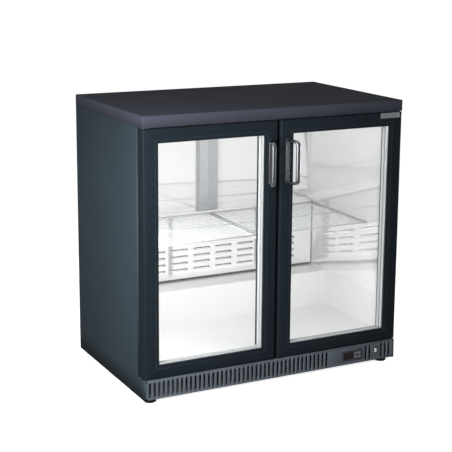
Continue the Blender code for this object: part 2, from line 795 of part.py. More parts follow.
def make_cold_side(finish):
    """Evaporator behind its slotted cover on the back wall, with its fan, and the duct above it."""
    wall = 0.0015
    back = LINER_BACK - GAP
    half = LINER_HALF - 0.004
    us = [-half]
    for column in range(-4, 6):
        middle = COVER_MIDDLE_X + (column - 0.5) * COVER_COLUMN_PITCH
        low, high = middle - COVER_SLOT_WIDTH / 2, middle + COVER_SLOT_WIDTH / 2
        if -half < low and high < half:
            us += [low, high]
    us.append(half)
    vs = [COVER_BOTTOM]
    for row in range(COVER_ROWS):
        slot_low = COVER_LOW_SLOT + row * COVER_ROW_PITCH
        vs += [slot_low, slot_low + COVER_SLOT_HEIGHT]
    vs.append(COVER_TOP)
    plate = grid_plate(us, vs, lambda i, j: i % 2 == 1 and j % 2 == 1, "y", COVER_FRONT, COVER_FRONT + wall)
    cover = add_object("evaporator_cover", plate, finish["liner"])
    top_low = (-half + 0.0001, COVER_FRONT + 0.0007, COVER_TOP - wall)
    top_high = (half - 0.0001, back, COVER_TOP - 0.0001)
    join(cover, box(top_low, top_high))

    coil_left, coil_right = -0.300, 0.100
    coil_front, coil_back = 0.222, 0.246
    fin, groove, root = 0.004, 0.010, 0.232
    fins = [(coil_left, coil_front)]
    x = coil_left
    while x + fin + groove < coil_right:
        fins += [
            (x + fin, coil_front),
            (x + fin, root),
            (x + fin + groove, root),
            (x + fin + groove, coil_front),
        ]
        x += fin + groove
    fins += [(x + fin, coil_front), (x + fin, coil_back), (coil_left, coil_back)]
    add_object("evaporator_coil", prism(fins, "z", 0.2600, 0.4300), finish["steel"])

    make_fan("evaporator_fan", "y", (0.230, 0.234, 0.345), 0.052, 0.0105, finish)
    duct = prism(
        [(-0.040, back), (-0.034, COVER_FRONT + 0.016), (0.034, COVER_FRONT + 0.016), (0.040, back)],
        "z",
        COVER_TOP + GAP,
        LINER_CEILING - GAP,
    )
    add_object("rear_air_duct", duct, finish["steel"])


def make_fan(name, axis, centre, radius, half_depth, finish):
    """A square fan frame whose motor sits on four spokes, and its bladed wheel."""
    side = radius + 0.004

    def slab(a, b, low, high):
        corners = (placed(axis, a[0], a[1], low), placed(axis, b[0], b[1], high))
        return box(*[tuple(c + p for c, p in zip(corner, centre)) for corner in corners])

    def drum(drum_radius, low, high, steps):
        profile = ((0.0, low), (drum_radius, low), (drum_radius, high), (0.0, high))
        return turned(profile, axis, centre, steps)

    plate = slab((-side, -side), (side, side), -half_depth, half_depth)
    frame = add_object(f"{name}_motor", plate, finish["black"])
    cut(frame, drum(radius, -half_depth - 0.01, half_depth + 0.01, 28))
    spoke_low = half_depth * 0.55
    spoke_high = half_depth - 0.0002
    spoke_reach = side - 0.001
    spoke_half = 0.003
    join(frame, slab((-spoke_reach, -spoke_half), (spoke_reach, spoke_half), spoke_low, spoke_high))
    cross_low, cross_high = spoke_low + 0.0002, spoke_high - 0.0002
    join(frame, slab((-spoke_half, -spoke_reach), (spoke_half, spoke_reach), cross_low, cross_high))
    join(frame, drum(0.018, spoke_low - 0.0010, half_depth - 0.0004, 20))
    wheel_low = -half_depth + 0.001
    wheel_high = spoke_low - 0.0022
    pivot = empty(f"{name}_axis", centre)
    cap = drum(0.017, wheel_low, wheel_high, 20)
    wheel = add_object(f"{name}_wheel", cap, finish["black"], parent=pivot)
    blades = 5
    thick = 0.0012
    root_reach, tip_reach = 0.015, radius - 0.003
    for blade in range(blades):
        turn = math.tau * blade / blades
        points = []
        for reach, half_sweep in ((root_reach, 0.448), (tip_reach, 0.28)):
            for sweep, height in ((-half_sweep, wheel_low + 0.001), (half_sweep, wheel_high - 0.001)):
                for level in (-thick / 2, thick / 2):
                    u = reach * math.cos(turn + sweep)
                    v = reach * math.sin(turn + sweep)
                    points.append(Vector(placed(axis, u, v, height + level)) + Vector(centre))
        join(wheel, hexahedron(points))


def make_machine_room(finish):
    """Compressor with its drain tray, condenser and its fan, standing on the base tray behind the step."""
    floor = BODY_BOTTOM + 0.0015 + GAP
    x, y = 0.285, 0.224
    half_x, half_y = 0.085, 0.060
    dome = [
        (0.0, floor + 0.001),
        (0.050, floor + 0.001),
        (0.058, floor + 0.020),
        (0.060, floor + 0.070),
        (0.060, floor + 0.100),
        (0.052, floor + 0.124),
        (0.032, floor + 0.138),
        (0.0, floor + 0.142),
    ]
    foot_plate = box((x - half_x, y - half_y, floor), (x + half_x, y + half_y, floor + 0.003))
    compressor = add_object("compressor", foot_plate, finish["black"])
    join(compressor, turned(dome, "z", (x, y, 0.0), 24))
    join(compressor, box((x - 0.078, y - 0.022, floor + 0.040), (x - 0.050, y + 0.022, floor + 0.085)))

    tray_low = floor + 0.1445
    wall = 0.002
    block = box((x - half_x, y - half_y, tray_low), (x + half_x, y + half_y, tray_low + 0.018))
    tray = add_object("condensate_tray", block, finish["black"])
    hollow_low = (x - half_x + wall, y - half_y + wall, tray_low + wall)
    hollow_high = (x + half_x - wall, y + half_y - wall, tray_low + 0.03)
    cut(tray, box(hollow_low, hollow_high))

    low_y, high_y = 0.1650, 0.2850
    fin, groove = 0.005, 0.011
    root_x, edge_x, back_x = -0.040, -0.010, -0.070
    outline = [(edge_x, low_y)]
    edge = low_y
    while edge + fin + groove < high_y - fin:
        outline += [
            (edge_x, edge + fin),
            (root_x, edge + fin),
            (root_x, edge + fin + groove),
            (edge_x, edge + fin + groove),
        ]
        edge += fin + groove
    outline += [(edge_x, high_y), (back_x, high_y), (back_x, low_y)]
    add_object("condenser_coil", prism(outline, "z", floor, floor + 0.150), finish["steel"])
    make_fan("condenser_fan", "x", (0.020, y, floor + 0.064), 0.054, 0.019, finish)

    height = floor + 0.134
    behind = y - 0.050
    route = [
        (x - 0.056, y - 0.030, floor + 0.095),
        (x - 0.070, y - 0.042, floor + 0.110),
        (x - 0.100, behind, height - 0.004),
        (0.060, behind, height - 0.004),
        (0.010, behind + 0.003, height),
        (root_x + 0.034, behind + 0.010, height),
    ]
    add_object("discharge_pipe", pipe(route, 0.004), finish["copper"], smooth=True)


def make_shelves(finish):
    """A wire shelf in each bay, on angle rails along the side walls and a centre rail."""
    rail_top = SHELF_BOTTOM - GAP
    front, back = -0.135, 0.2120
    wall = 0.0015
    for side, sign in SIDES.items():
        edge = sign * (LINER_HALF - GAP)
        foot = sign * (LINER_HALF - GAP - 0.014)
        drop = sign * (LINER_HALF - GAP - wall)
        angle = [
            (edge, rail_top),
            (foot, rail_top),
            (foot, rail_top - wall),
            (drop, rail_top - wall),
            (drop, rail_top - 0.014),
            (edge, rail_top - 0.014),
        ]
        add_object(f"shelf_rail_{side}", prism(angle, "y", front, back), finish["liner"])
        us_edges = sorted((sign * 0.0025, sign * (LINER_HALF - 0.0030)))
        us = [us_edges[0]]
        wires = 15
        wire = 0.004
        pitch = (us_edges[1] - us_edges[0] - wire) / wires
        for i in range(wires):
            us += [us_edges[0] + wire + i * pitch, us_edges[0] + (i + 1) * pitch]
        us.append(us_edges[1])
        middle = (front + back) / 2
        vs = [front, front + wire, middle, middle + wire, back - wire, back]
        shelf_top = SHELF_BOTTOM + SHELF_THICKNESS
        shelf = grid_plate(us, vs, lambda i, j: i % 2 == 1 and j % 2 == 1, "z", SHELF_BOTTOM, shelf_top)
        add_object(f"shelf_{side}", shelf, finish["wire"])
    centre = [
        (-0.012, rail_top),
        (0.012, rail_top),
        (0.012, rail_top - wall),
        (wall / 2, rail_top - wall),
        (wall / 2, rail_top - 0.016),
        (-wall / 2, rail_top - 0.016),
        (-wall / 2, rail_top - wall),
        (-0.012, rail_top - wall),
    ]
    rail = prism(centre, "y", BODY_FRONT_Y + 0.0405, COVER_FRONT - GAP)
    add_object("shelf_rail_centre", rail, finish["liner"])


def make_lamp(finish):
    outline = [(-0.158, LINER_CEILING - GAP), (-0.128, LINER_CEILING - GAP)]
    outline += list(arc((-0.143, LINER_CEILING - 0.006), 0.010, -10, -170, 6))
    add_object("interior_lamp", prism(outline, "x", -0.360, 0.360), finish["lamp"])


def main():
    clear_scene()
    finish = make_finishes()
    make_worktop(finish)
    for side, sign in SIDES.items():
        make_side_panel(side, sign, finish)
    make_rear_panel(finish)
    make_base_tray(finish)
    make_insulated_body(finish)
    make_grille(finish)
    make_controller(finish)
    make_lamp_switch(finish)
    make_hinge_brackets(finish)
    for side, sign in SIDES.items():
        make_door(side, sign, finish)
    make_badge(finish)
    make_cold_side(finish)
    make_machine_room(finish)
    make_shelves(finish)
    make_lamp(finish)


main()
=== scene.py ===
"""Looks of the two-door under counter bottle cooler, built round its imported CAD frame, in metres."""
import math

import bmesh
import bpy
from mathutils import Matrix, Vector


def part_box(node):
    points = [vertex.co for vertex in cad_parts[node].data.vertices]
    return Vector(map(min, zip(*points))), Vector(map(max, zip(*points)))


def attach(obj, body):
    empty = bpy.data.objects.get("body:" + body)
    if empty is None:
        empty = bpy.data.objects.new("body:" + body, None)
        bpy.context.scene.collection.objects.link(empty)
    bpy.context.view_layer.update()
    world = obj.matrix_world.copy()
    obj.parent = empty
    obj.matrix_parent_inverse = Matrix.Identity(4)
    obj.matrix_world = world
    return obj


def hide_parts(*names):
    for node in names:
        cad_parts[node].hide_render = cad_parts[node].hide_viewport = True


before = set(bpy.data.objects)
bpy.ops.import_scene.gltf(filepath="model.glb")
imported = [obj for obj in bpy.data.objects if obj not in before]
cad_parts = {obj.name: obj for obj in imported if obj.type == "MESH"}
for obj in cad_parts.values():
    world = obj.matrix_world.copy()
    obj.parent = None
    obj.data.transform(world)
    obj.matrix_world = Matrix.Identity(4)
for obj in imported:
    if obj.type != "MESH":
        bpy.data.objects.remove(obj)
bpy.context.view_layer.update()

# Sizes shared by several pieces
SIDES = {"left": -1, "right": 1}
HALF_WIDTH = 0.450
FRONT_Y = -0.251
BODY_FRONT_Y = -0.205
BACK_Y = 0.299
BODY_BOTTOM = 0.0153
PLINTH_TOP = 0.077
BODY_TOP = 0.8397
WORKTOP_BOTTOM = 0.840
HEIGHT = 0.875
GAP = 0.0003
INSIDE_HALF = 0.4485

LINER_HALF = 0.405
LINER_FLOOR = 0.105
LINER_CEILING = 0.805
LINER_BACK = 0.249
LINER_FRONT = -0.2035
STEP_FRONT = 0.124
STEP_TOP = 0.225

DOOR_OUTER = 0.449
DOOR_INNER = 0.005
DOOR_BOTTOM = 0.080
DOOR_TOP = 0.837
DOOR_BACK_Y = -0.211
GLASS_OUTER = 0.400
GLASS_INNER = 0.051
GLASS_BOTTOM = 0.122
GLASS_TOP = 0.793
REBATE = 0.011
PANE_GROWTH = 0.0105
PIVOT_X = 0.434
PIVOT_Y = -0.231
HANDLE_X = 0.029
HANDLE_LEAN = 0.013

GRILLE_Y = -0.2495
GRILLE_PITCH = 0.0151
GRILLE_SLOT = 0.0072
GRILLE_BLANKS = ((0.202, 0.328), (0.368, 0.386))
CONTROLLER = (0.248, 0.0275, 0.325, 0.0625)
SWITCH_X = 0.377
SWITCH_Z = 0.050

# Pieces that the key light and its card don't fall on
COLD_SPACE = (
    "liner_shell", "cooler_cover", "air_channel", "wire_shelf_left", "wire_shelf_right",
    "shelf_rail_left", "shelf_rail_right", "shelf_rail_centre",
)

# The camera, with its angles in degrees
CAMERA_PLACE = (-1.785, -3.379, 1.371)
CAMERA_YAW = 27.74
CAMERA_PITCH = -11.87
CAMERA_ROLL = 0.51
CAMERA_LENS = 95.84
CAMERA_SHIFT = (-0.0270, -0.0753)

scene = bpy.context.scene
FINISH = {}


# ---------------------------------------------------------------- materials

def fill(made, node, inputs):
    """Sets a node's inputs: another node's output is linked, and anything else is a value."""
    for name, value in inputs.items():
        if isinstance(value, bpy.types.NodeSocket):
            made.node_tree.links.new(value, node.inputs[name])
        else:
            node.inputs[name].default_value = value


def grow(made, kind, output, inputs=None, **settings):
    """Adds a node to a material or a world, and returns one of its outputs."""
    node = made.node_tree.nodes.new("ShaderNode" + kind)
    for name, value in settings.items():
        setattr(node, name, value)
    fill(made, node, inputs or {})
    return node.outputs[output]


def surface(name, colour, roughness, metallic=0.0, grain=900.0, stretch=(1, 1, 1), spread=0.10, blotch=6.0,
            rough_spread=0.05, bump=0.15, depth=0.0002, specular=0.5, coat=0.0, edge=0.0,
            edge_wear_and_highlight_colour=(0.3, 0.3, 0.3)):
    """A Principled finish whose colour, roughness and fine relief come from noise in the object's space."""
    made = bpy.data.materials.new(name)
    made.use_nodes = True
    place = grow(made, "Mapping", "Vector", {"Vector": grow(made, "TexCoord", "Object"), "Scale": stretch})
    fine = grow(made, "TexNoise", "Fac", {"Vector": place, "Scale": grain, "Detail": 2.0})
    broad = grow(made, "TexNoise", "Fac", {"Vector": place, "Scale": blotch, "Detail": 5.0})
    broad_part = grow(made, "Math", "Value", {0: broad, 1: 0.6}, operation="MULTIPLY")
    both = grow(made, "Math", "Value", {0: fine, 1: 0.4, 2: broad_part}, operation="MULTIPLY_ADD")
    tint = grow(made, "ValToRGB", "Color", {"Fac": both})
    for stop, position, scale in zip(tint.node.color_ramp.elements, (0.30, 0.70), (1 - spread, 1 + spread)):
        stop.position = position
        stop.color = (*[min(1.0, c * scale) for c in colour], 1)
    # Where edge is set, rounded edges are lightened towards a paler colour: partly wear, partly a painted
    # highlight where the edges would catch the light.
    if edge:
        soft = grow(made, "Bevel", "Normal", {"Radius": 0.0016}, samples=4)
        true = grow(made, "NewGeometry", "Normal")
        flat = grow(made, "VectorMath", "Value", {0: soft, 1: true}, operation="DOT_PRODUCT")
        edge_wear_and_highlight = grow(made, "MapRange", "Result", {
            "Value": flat, "From Min": 0.995, "From Max": 0.80, "To Max": edge,
        })
        mixed = {"Factor": edge_wear_and_highlight, "A": tint, "B": (*edge_wear_and_highlight_colour, 1)}
        tint = grow(made, "Mix", "Result", mixed, data_type="RGBA")
    gloss = grow(made, "MapRange", "Result", {
        "Value": broad, "From Min": 0.3, "From Max": 0.7,
        "To Min": max(0.02, roughness - rough_spread), "To Max": roughness + rough_spread,
    })
    relief = grow(made, "Bump", "Normal", {"Strength": bump, "Distance": depth, "Height": fine})
    fill(made, made.node_tree.nodes["Principled BSDF"], {
        "Base Color": tint, "Metallic": metallic, "Specular IOR Level": specular, "Roughness": gloss,
        "Coat Weight": coat, "Coat Roughness": 0.12, "Normal": relief,
    })
    FINISH[name] = made


def perforate(made, pitch):
    """Adds a regular grid of small dimples, as on a desiccant spacer."""
    hole, depth = 0.30, 0.0004
    shader = made.node_tree.nodes["Principled BSDF"]
    relief = shader.inputs["Normal"].links[0].from_socket
    place = grow(made, "TexCoord", "Object")
    cells = grow(made, "TexVoronoi", "Distance", {"Vector": place, "Scale": 1 / pitch, "Randomness": 0.0})
    dots = grow(made, "MapRange", "Result", {"Value": cells, "From Min": hole * 0.6, "From Max": hole})
    pressed = {"Strength": 0.8, "Distance": depth, "Height": dots, "Normal": relief}
    fill(made, shader, {"Normal": grow(made, "Bump", "Normal", pressed)})


def dull_below(made, height, roughness):
    """Makes the lower part of a finish duller, as on an embossed floor pan."""
    shader = made.node_tree.nodes["Principled BSDF"]
    polished = shader.inputs["Roughness"].links[0].from_socket
    level = grow(made, "SeparateXYZ", "Z", {"Vector": grow(made, "TexCoord", "Object")})
    low = grow(made, "MapRange", "Result", {
        "Value": level, "From Min": height, "From Max": height + 0.004, "To Min": roughness, "To Max": 0.0,
    })
    dulled = grow(made, "Math", "Value", {0: polished, 1: low}, operation="MAXIMUM")
    fill(made, shader, {"Roughness": dulled})


def glow(made, strength):
    """Makes a finish give off warm white light."""
    shader = made.node_tree.nodes["Principled BSDF"]
    fill(made, shader, {"Emission Color": (1.0, 0.98, 0.94, 1), "Emission Strength": strength})


def make_glass(name, tint, haze):
    """Clear float glass with faint smears: light passes straight through, and more is mirrored at a slant."""
    made = bpy.data.materials.new(name)
    made.use_nodes = True
    nodes = made.node_tree.nodes
    nodes.remove(nodes["Principled BSDF"])
    place = grow(made, "TexCoord", "Object")
    smear = grow(made, "TexNoise", "Fac", {"Vector": place, "Scale": 9.0, "Detail": 4.0})
    gloss = grow(made, "MapRange", "Result", {
        "Value": smear, "From Min": 0.4, "From Max": 0.8, "To Min": 0.015, "To Max": haze,
    })
    facing = grow(made, "LayerWeight", "Facing", {"Blend": 0.5})
    steep = grow(made, "Math", "Value", {0: facing, 1: 5.0}, operation="POWER")
    share = grow(made, "Math", "Value", {0: steep, 1: 0.75, 2: 0.022}, operation="MULTIPLY_ADD")
    clear = grow(made, "BsdfTransparent", "BSDF", {"Color": (*tint, 1)})
    mirror = grow(made, "BsdfGlossy", "BSDF", {"Color": (1, 1, 1, 1), "Roughness": gloss})
    mix = grow(made, "MixShader", "Shader", {"Fac": share, 1: clear, 2: mirror})
    fill(made, nodes["Material Output"], {"Surface": mix})
    FINISH[name] = made


def make_finishes():
    # The edge values lighten each finish's rounded edges towards a paler colour: partly wear, partly painted
    # highlight, strongest on the plinth's ribs.
    surface("worktop_steel", (0.036, 0.038, 0.050), 0.46, grain=1400, bump=0.25, specular=0.14, edge=0.35,
            edge_wear_and_highlight_colour=(0.16, 0.17, 0.19))
    surface("cabinet_steel", (0.0240, 0.0335, 0.0410), 0.48, grain=1400, bump=0.25, specular=0.20, edge=0.35,
            edge_wear_and_highlight_colour=(0.13, 0.15, 0.17))
    surface("door_frame_aluminium", (0.0085, 0.012, 0.0155), 0.42, grain=2200, bump=0.12, specular=0.12,
            edge=0.30, edge_wear_and_highlight_colour=(0.07, 0.08, 0.09))
    surface("front_frame_plastic", (0.012, 0.014, 0.016), 0.5, grain=1600, bump=0.2, specular=0.3)
    surface("plinth_plastic", (0.066, 0.077, 0.090), 0.36, grain=1600, bump=0.2, specular=0.4, edge=0.7,
            edge_wear_and_highlight_colour=(0.22, 0.25, 0.28))
    surface("controller_plastic", (0.030, 0.033, 0.037), 0.45, grain=1800, bump=0.15)
    surface("display_lens", (0.012, 0.006, 0.007), 0.10, grain=300, bump=0.02, coat=0.6)
    surface("button_plastic", (0.12, 0.125, 0.135), 0.42, grain=1800, bump=0.1)
    surface("rocker_plastic", (0.62, 0.64, 0.66), 0.30, grain=1500, bump=0.08)
    surface("handle_chrome", (0.58, 0.59, 0.62), 0.24, metallic=1.0, grain=400, stretch=(1, 1, 0.1),
            spread=0.06, bump=0.05, rough_spread=0.04)
    surface("badge_metal", (0.70, 0.71, 0.74), 0.30, metallic=0.9, grain=900, stretch=(0.05, 1, 1), bump=0.2)
    surface("liner_aluminium", (0.87, 0.87, 0.87), 0.035, metallic=0.55, grain=700, stretch=(1, 1, 0.04),
            spread=0.03, bump=0.015, depth=0.00002, rough_spread=0.01)
    dull_below(FINISH["liner_aluminium"], STEP_TOP + 0.004, 0.45)
    surface("spacer_aluminium", (0.70, 0.71, 0.72), 0.34, metallic=0.8, grain=900, bump=0.1)
    perforate(FINISH["spacer_aluminium"], 0.003)
    surface("bead_plastic", (0.40, 0.41, 0.42), 0.5, grain=1400, bump=0.15)
    surface("gasket_rubber", (0.10, 0.10, 0.105), 0.75, grain=1100, bump=0.3, specular=0.25)
    surface("shelf_wire", (0.52, 0.53, 0.54), 0.30, grain=500, bump=0.12, coat=0.3)
    surface("galvanised_steel", (0.42, 0.43, 0.45), 0.42, metallic=0.85, grain=55, spread=0.22, blotch=22,
            bump=0.12, rough_spread=0.12)
    surface("coil_aluminium", (0.60, 0.61, 0.63), 0.40, metallic=0.9, grain=700, bump=0.15)
    surface("fan_plastic", (0.018, 0.018, 0.020), 0.45, grain=1200, bump=0.15)
    surface("compressor_steel", (0.014, 0.014, 0.016), 0.36, grain=700, bump=0.3, coat=0.2, edge=0.25)
    surface("tray_plastic", (0.03, 0.03, 0.033), 0.5, grain=1200, bump=0.2)
    surface("pipe_copper", (0.70, 0.36, 0.22), 0.28, metallic=1.0, grain=200, spread=0.2, blotch=30, bump=0.1,
            rough_spread=0.1)
    surface("gland_plastic", (0.02, 0.02, 0.022), 0.5, grain=1300, bump=0.2)
    surface("foot_rubber", (0.022, 0.022, 0.023), 0.8, grain=900, bump=0.4, specular=0.25)
    surface("foam", (0.74, 0.66, 0.42), 0.9, grain=420, spread=0.16, blotch=40, bump=0.8, depth=0.0006,
            specular=0.2)
    surface("worktop_core", (0.46, 0.35, 0.22), 0.85, grain=500, spread=0.2, blotch=60, bump=0.6,
            depth=0.0005)
    surface("lamp_diffuser", (0.90, 0.91, 0.92), 0.35, grain=300, stretch=(0.05, 1, 1), bump=0.08)
    glow(FINISH["lamp_diffuser"], 1.2)
    make_glass("door_glass", (0.985, 0.988, 0.985), 0.05)


# ---------------------------------------------------------------- mesh helpers

def piece(name, shape, body, slot, replaces=(), smooth=38.0, outward=True):
    """Turns a bmesh in the frame's coordinates into a piece that rides on a body."""
    if outward:
        bmesh.ops.recalc_face_normals(shape, faces=shape.faces)
    mesh = bpy.data.meshes.new(name)
    shape.to_mesh(mesh)
    shape.free()
    mesh.shade_smooth()
    mesh.set_sharp_from_angle(angle=math.radians(smooth))
    mesh.materials.append(FINISH[slot])
    obj = bpy.data.objects.new(name, mesh)
    scene.collection.objects.link(obj)
    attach(obj, body)
    if replaces:
        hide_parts(*replaces)
    return obj


def add(shape, *others):
    """Adds the other shapes to the first, each as a solid of its own."""
    for other in others:
        mesh = bpy.data.meshes.new("part")
        other.to_mesh(mesh)
        other.free()
        shape.from_mesh(mesh)
        bpy.data.meshes.remove(mesh)
    return shape


def thicken(obj, thickness, offset):
    """Gives an open sheet its thickness: offset -1 grows it against its normals, and 1 along them."""
    sheet = obj.modifiers.new("Sheet", "SOLIDIFY")
    sheet.thickness = thickness
    sheet.offset = offset
    sheet.use_even_offset = True


def round_off(shape, edges, width, segments, clamp=False):
    """Bevels edges to a round fold."""
    bmesh.ops.bevel(shape, geom=edges, offset=width, offset_type="OFFSET", segments=segments, profile=0.5,
                    affect="EDGES", clamp_overlap=clamp)


def rounded(shape, width, segments=2, angle=30.0):
    """Rounds every edge that is sharper than angle."""
    bmesh.ops.recalc_face_normals(shape, faces=shape.faces)
    sharp = math.radians(angle)
    edges = [e for e in shape.edges if len(e.link_faces) == 2 and e.calc_face_angle(0.0) > sharp]
    round_off(shape, edges, width, segments, clamp=True)
    return shape


def moved(points, *shift):
    """The points with a shift added to the last coordinates of each."""
    kept = -len(shift)
    return [(*point[:kept], *(a + b for a, b in zip(point[kept:], shift))) for point in points]


def inset(rectangle, amount):
    """A rectangle (low u, low v, high u, high v) with each side moved in."""
    u0, v0, u1, v1 = rectangle
    return u0 + amount, v0 + amount, u1 - amount, v1 - amount


def around(u, v, half_u, half_v):
    """A rectangle from its middle and its half sizes."""
    return u - half_u, v - half_v, u + half_u, v + half_v


def hexahedron(points):
    shape = bmesh.new()
    corners = [shape.verts.new(point) for point in points]
    for face in ((0, 1, 3, 2), (4, 6, 7, 5), (0, 4, 5, 1), (2, 3, 7, 6), (0, 2, 6, 4), (1, 5, 7, 3)):
        shape.faces.new([corners[i] for i in face])
    return shape


def box(low, high, width=0.0, segments=2):
    xs, ys, zs = zip(low, high)
    shape = hexahedron([(x, y, z) for x in xs for y in ys for z in zs])
    return rounded(shape, width, segments) if width else shape


def placed(axis, u, v, w):
    """A point from two in-plane coordinates and its height along an axis: (y, z), (x, z) or (x, y)."""
    return {"x": (w, u, v), "y": (u, w, v), "z": (u, v, w)}[axis]


def skin(shape, loops, ends=True):
    """Joins each loop of vertices to the next, and closes the first and the last one."""
    for one, other in zip(loops, loops[1:]):
        for k in range(len(one)):
            n = (k + 1) % len(one)
            shape.faces.new((one[k], other[k], other[n], one[n]))
    if ends:
        shape.faces.new(loops[0])
        shape.faces.new(reversed(loops[-1]))
    return shape


def prism(outline, axis, low, high):
    shape = bmesh.new()
    return skin(shape, [[shape.verts.new(placed(axis, u, v, w)) for u, v in outline] for w in (low, high)])


def turned(profile, axis, centre, steps=32):
    """Revolves (radius, height) points. The profile starts and ends on the axis."""
    shape = bmesh.new()
    rings = []
    for radius, height in profile:
        ring = []
        for i in range(steps if radius > 0 else 1):
            turn = math.tau * i / steps
            point = placed(axis, radius * math.cos(turn), radius * math.sin(turn), height)
            ring.append(shape.verts.new(Vector(point) + Vector(centre)))
        rings.append(ring)
    for one, other in zip(rings, rings[1:]):
        for i in range(steps):
            j = (i + 1) % steps
            corners = [one[i % len(one)], one[j % len(one)], other[j % len(other)], other[i % len(other)]]
            shape.faces.new(list(dict.fromkeys(corners)))
    return shape


def arc(centre, radius, start, end, steps):
    for i in range(steps + 1):
        turn = math.radians(start + (end - start) * i / steps)
        yield centre[0] + radius * math.cos(turn), centre[1] + radius * math.sin(turn)


def rounded_rectangle(rectangle, radius, steps=5):
    """The outline of a rectangle with round corners, counter-clockwise."""
    u0, v0, u1, v1 = inset(rectangle, radius)
    points = []
    for centre, start in (((u1, v0), 270), ((u1, v1), 0), ((u0, v1), 90), ((u0, v0), 180)):
        points += list(arc(centre, radius, start, start + 90, steps))
    return points


def sweep(path, section, sizes=None):
    """Sweeps a section of (across, up) points along a path in space, with closed ends.

    sizes scales the section at each point of the path.
    """
    shape = bmesh.new()
    path = [Vector(p) for p in path]
    rings = []
    across = None
    for i, point in enumerate(path):
        along = (path[min(i + 1, len(path) - 1)] - path[max(i - 1, 0)]).normalized()
        if across is None:
            guide = Vector((1, 0, 0)) if abs(along.x) < 0.9 else Vector((0, 1, 0))
            across = (guide - along * guide.dot(along)).normalized()
        else:
            across = (across - along * across.dot(along)).normalized()
        up = along.cross(across)
        size = sizes[i] if sizes else 1.0
        rings.append([shape.verts.new(point + size * (a * across + b * up)) for a, b in section])
    return skin(shape, rings)


def oval(half_across, half_up, sides=20):
    turns = [math.tau * (k + 0.5) / sides for k in range(sides)]
    return [(half_across * math.cos(turn), half_up * math.sin(turn)) for turn in turns]


def rod(start, end, radius, sides=10):
    """A straight round wire with slightly rounded ends."""
    start, end = Vector(start), Vector(end)
    step = (end - start).normalized() * radius * 0.4
    return sweep([start, start + step, end - step, end], oval(radius, radius, sides), [0.7, 1.0, 1.0, 0.7])


def smooth_path(points, per_span=6):
    """A Catmull-Rom curve through points."""
    points = [Vector(p) for p in points]
    points = [2 * points[0] - points[1]] + points + [2 * points[-1] - points[-2]]
    path = []
    for i in range(1, len(points) - 2):
        a, b, c, d = points[i - 1:i + 3]
        for k in range(per_span):
            t = k / per_span
            path.append(0.5 * (2 * b + (c - a) * t + (2 * a - 5 * b + 4 * c - d) * t * t
                               + (3 * b - a - 3 * c + d) * t ** 3))
    path.append(points[-2])
    return path


def corner_points(outer, inner, which, away, y):
    """The four corners of the outer rectangle moved in, or of the inner one moved out."""
    x0, z0, x1, z1 = inset(outer, away) if which == "outer" else inset(inner, -away)
    return [Vector((x0, y, z0)), Vector((x1, y, z0)), Vector((x1, y, z1)), Vector((x0, y, z1))]


def frame_ring(outer, inner, profile):
    """Sweeps a closed section round a rectangle in the XZ plane in one piece, with mitred corners.

    Each profile point is (which, away, y): away is how far it lies inside the section, measured from the
    outer or the inner rectangle.
    """
    shape = bmesh.new()
    loops = [[shape.verts.new(p) for p in corner_points(outer, inner, *point)] for point in profile]
    return skin(shape, loops + loops[:1], ends=False)


def mitred_frame(outer, inner, profile, seam=0.00018):
    """The same as four separate bars that meet at fine mitre joints."""
    shape = bmesh.new()
    corners = [corner_points(outer, inner, *point) for point in profile]
    for i in range(4):
        j = (i + 1) % 4
        along = (corners[0][j] - corners[0][i]).normalized() * seam
        first = [shape.verts.new(c[i] + along) for c in corners]
        last = [shape.verts.new(c[j] - along) for c in corners]
        skin(shape, [first, last])
    return shape


def slot_lines(low, high, slot, pitch):
    """Grid lines of evenly spaced slots centred between two ends: solid, slot, solid ... solid."""
    count = int((high - low - slot) // pitch)
    first = (low + high - (count - 1) * pitch - slot) / 2
    lines = [low]
    for i in range(count):
        lines += [first + i * pitch, first + i * pitch + slot]
    return lines + [high]


def slotted_plate(us, vs, axis, low, high, steps=4):
    """A plate on grid lines, with a round-ended slot in each odd cell."""
    shape = bmesh.new()
    points = {}

    def point(u, v, level):
        key = (round(u, 6), round(v, 6), level)
        if key not in points:
            points[key] = shape.verts.new(placed(axis, u, v, level))
        return points[key]

    def face(corners, level):
        shape.faces.new([point(u, v, level) for u, v in corners])

    def wall(a, b):
        shape.faces.new((point(*a, low), point(*b, low), point(*b, high), point(*a, high)))

    def cell_with_slot(corners, slot):
        quarter = steps + 1
        for level in (low, high):
            for k, corner in enumerate(corners):
                run = slot[k * quarter:(k + 1) * quarter]
                for one, other in zip(run, run[1:]):
                    face((corner, other, one), level)
                after = slot[((k + 1) * quarter) % len(slot)]
                face((corner, corners[(k + 1) % 4], after, run[-1]), level)
        for k, one in enumerate(slot):
            wall(one, slot[(k + 1) % len(slot)])

    for i, (u0, u1) in enumerate(zip(us, us[1:])):
        for j, (v0, v1) in enumerate(zip(vs, vs[1:])):
            corners = [(u1, v0), (u1, v1), (u0, v1), (u0, v0)]
            if i % 2 and j % 2:
                margin = min(u1 - u0, v1 - v0) * 0.06
                radius = (min(u1 - u0, v1 - v0) / 2 - margin) * 0.98
                slot = rounded_rectangle(inset((u0, v0, u1, v1), margin), radius, steps)
                cell_with_slot(corners, slot)
            else:
                face(corners, low)
                face(corners, high)
    for one, other in zip(us, us[1:]):
        for v in (vs[0], vs[-1]):
            wall((one, v), (other, v))
    for one, other in zip(vs, vs[1:]):
        for u in (us[0], us[-1]):
            wall((u, one), (u, other))
    return shape


def screw(x, y, z, out, radius):
    """A low domed head with a round socket, as tall as half its radius. out is 1 or -1 along Y."""
    tall = radius * 0.5 * out
    profile = [
        (0.0, 0.0), (radius, 0.0), (radius * 0.98, tall * 0.45), (radius * 0.80, tall * 0.85),
        (radius * 0.50, tall), (radius * 0.46, tall), (radius * 0.42, tall * 0.45), (0.0, tall * 0.40),
    ]
    return turned(profile, "y", (x, y, z), 18)


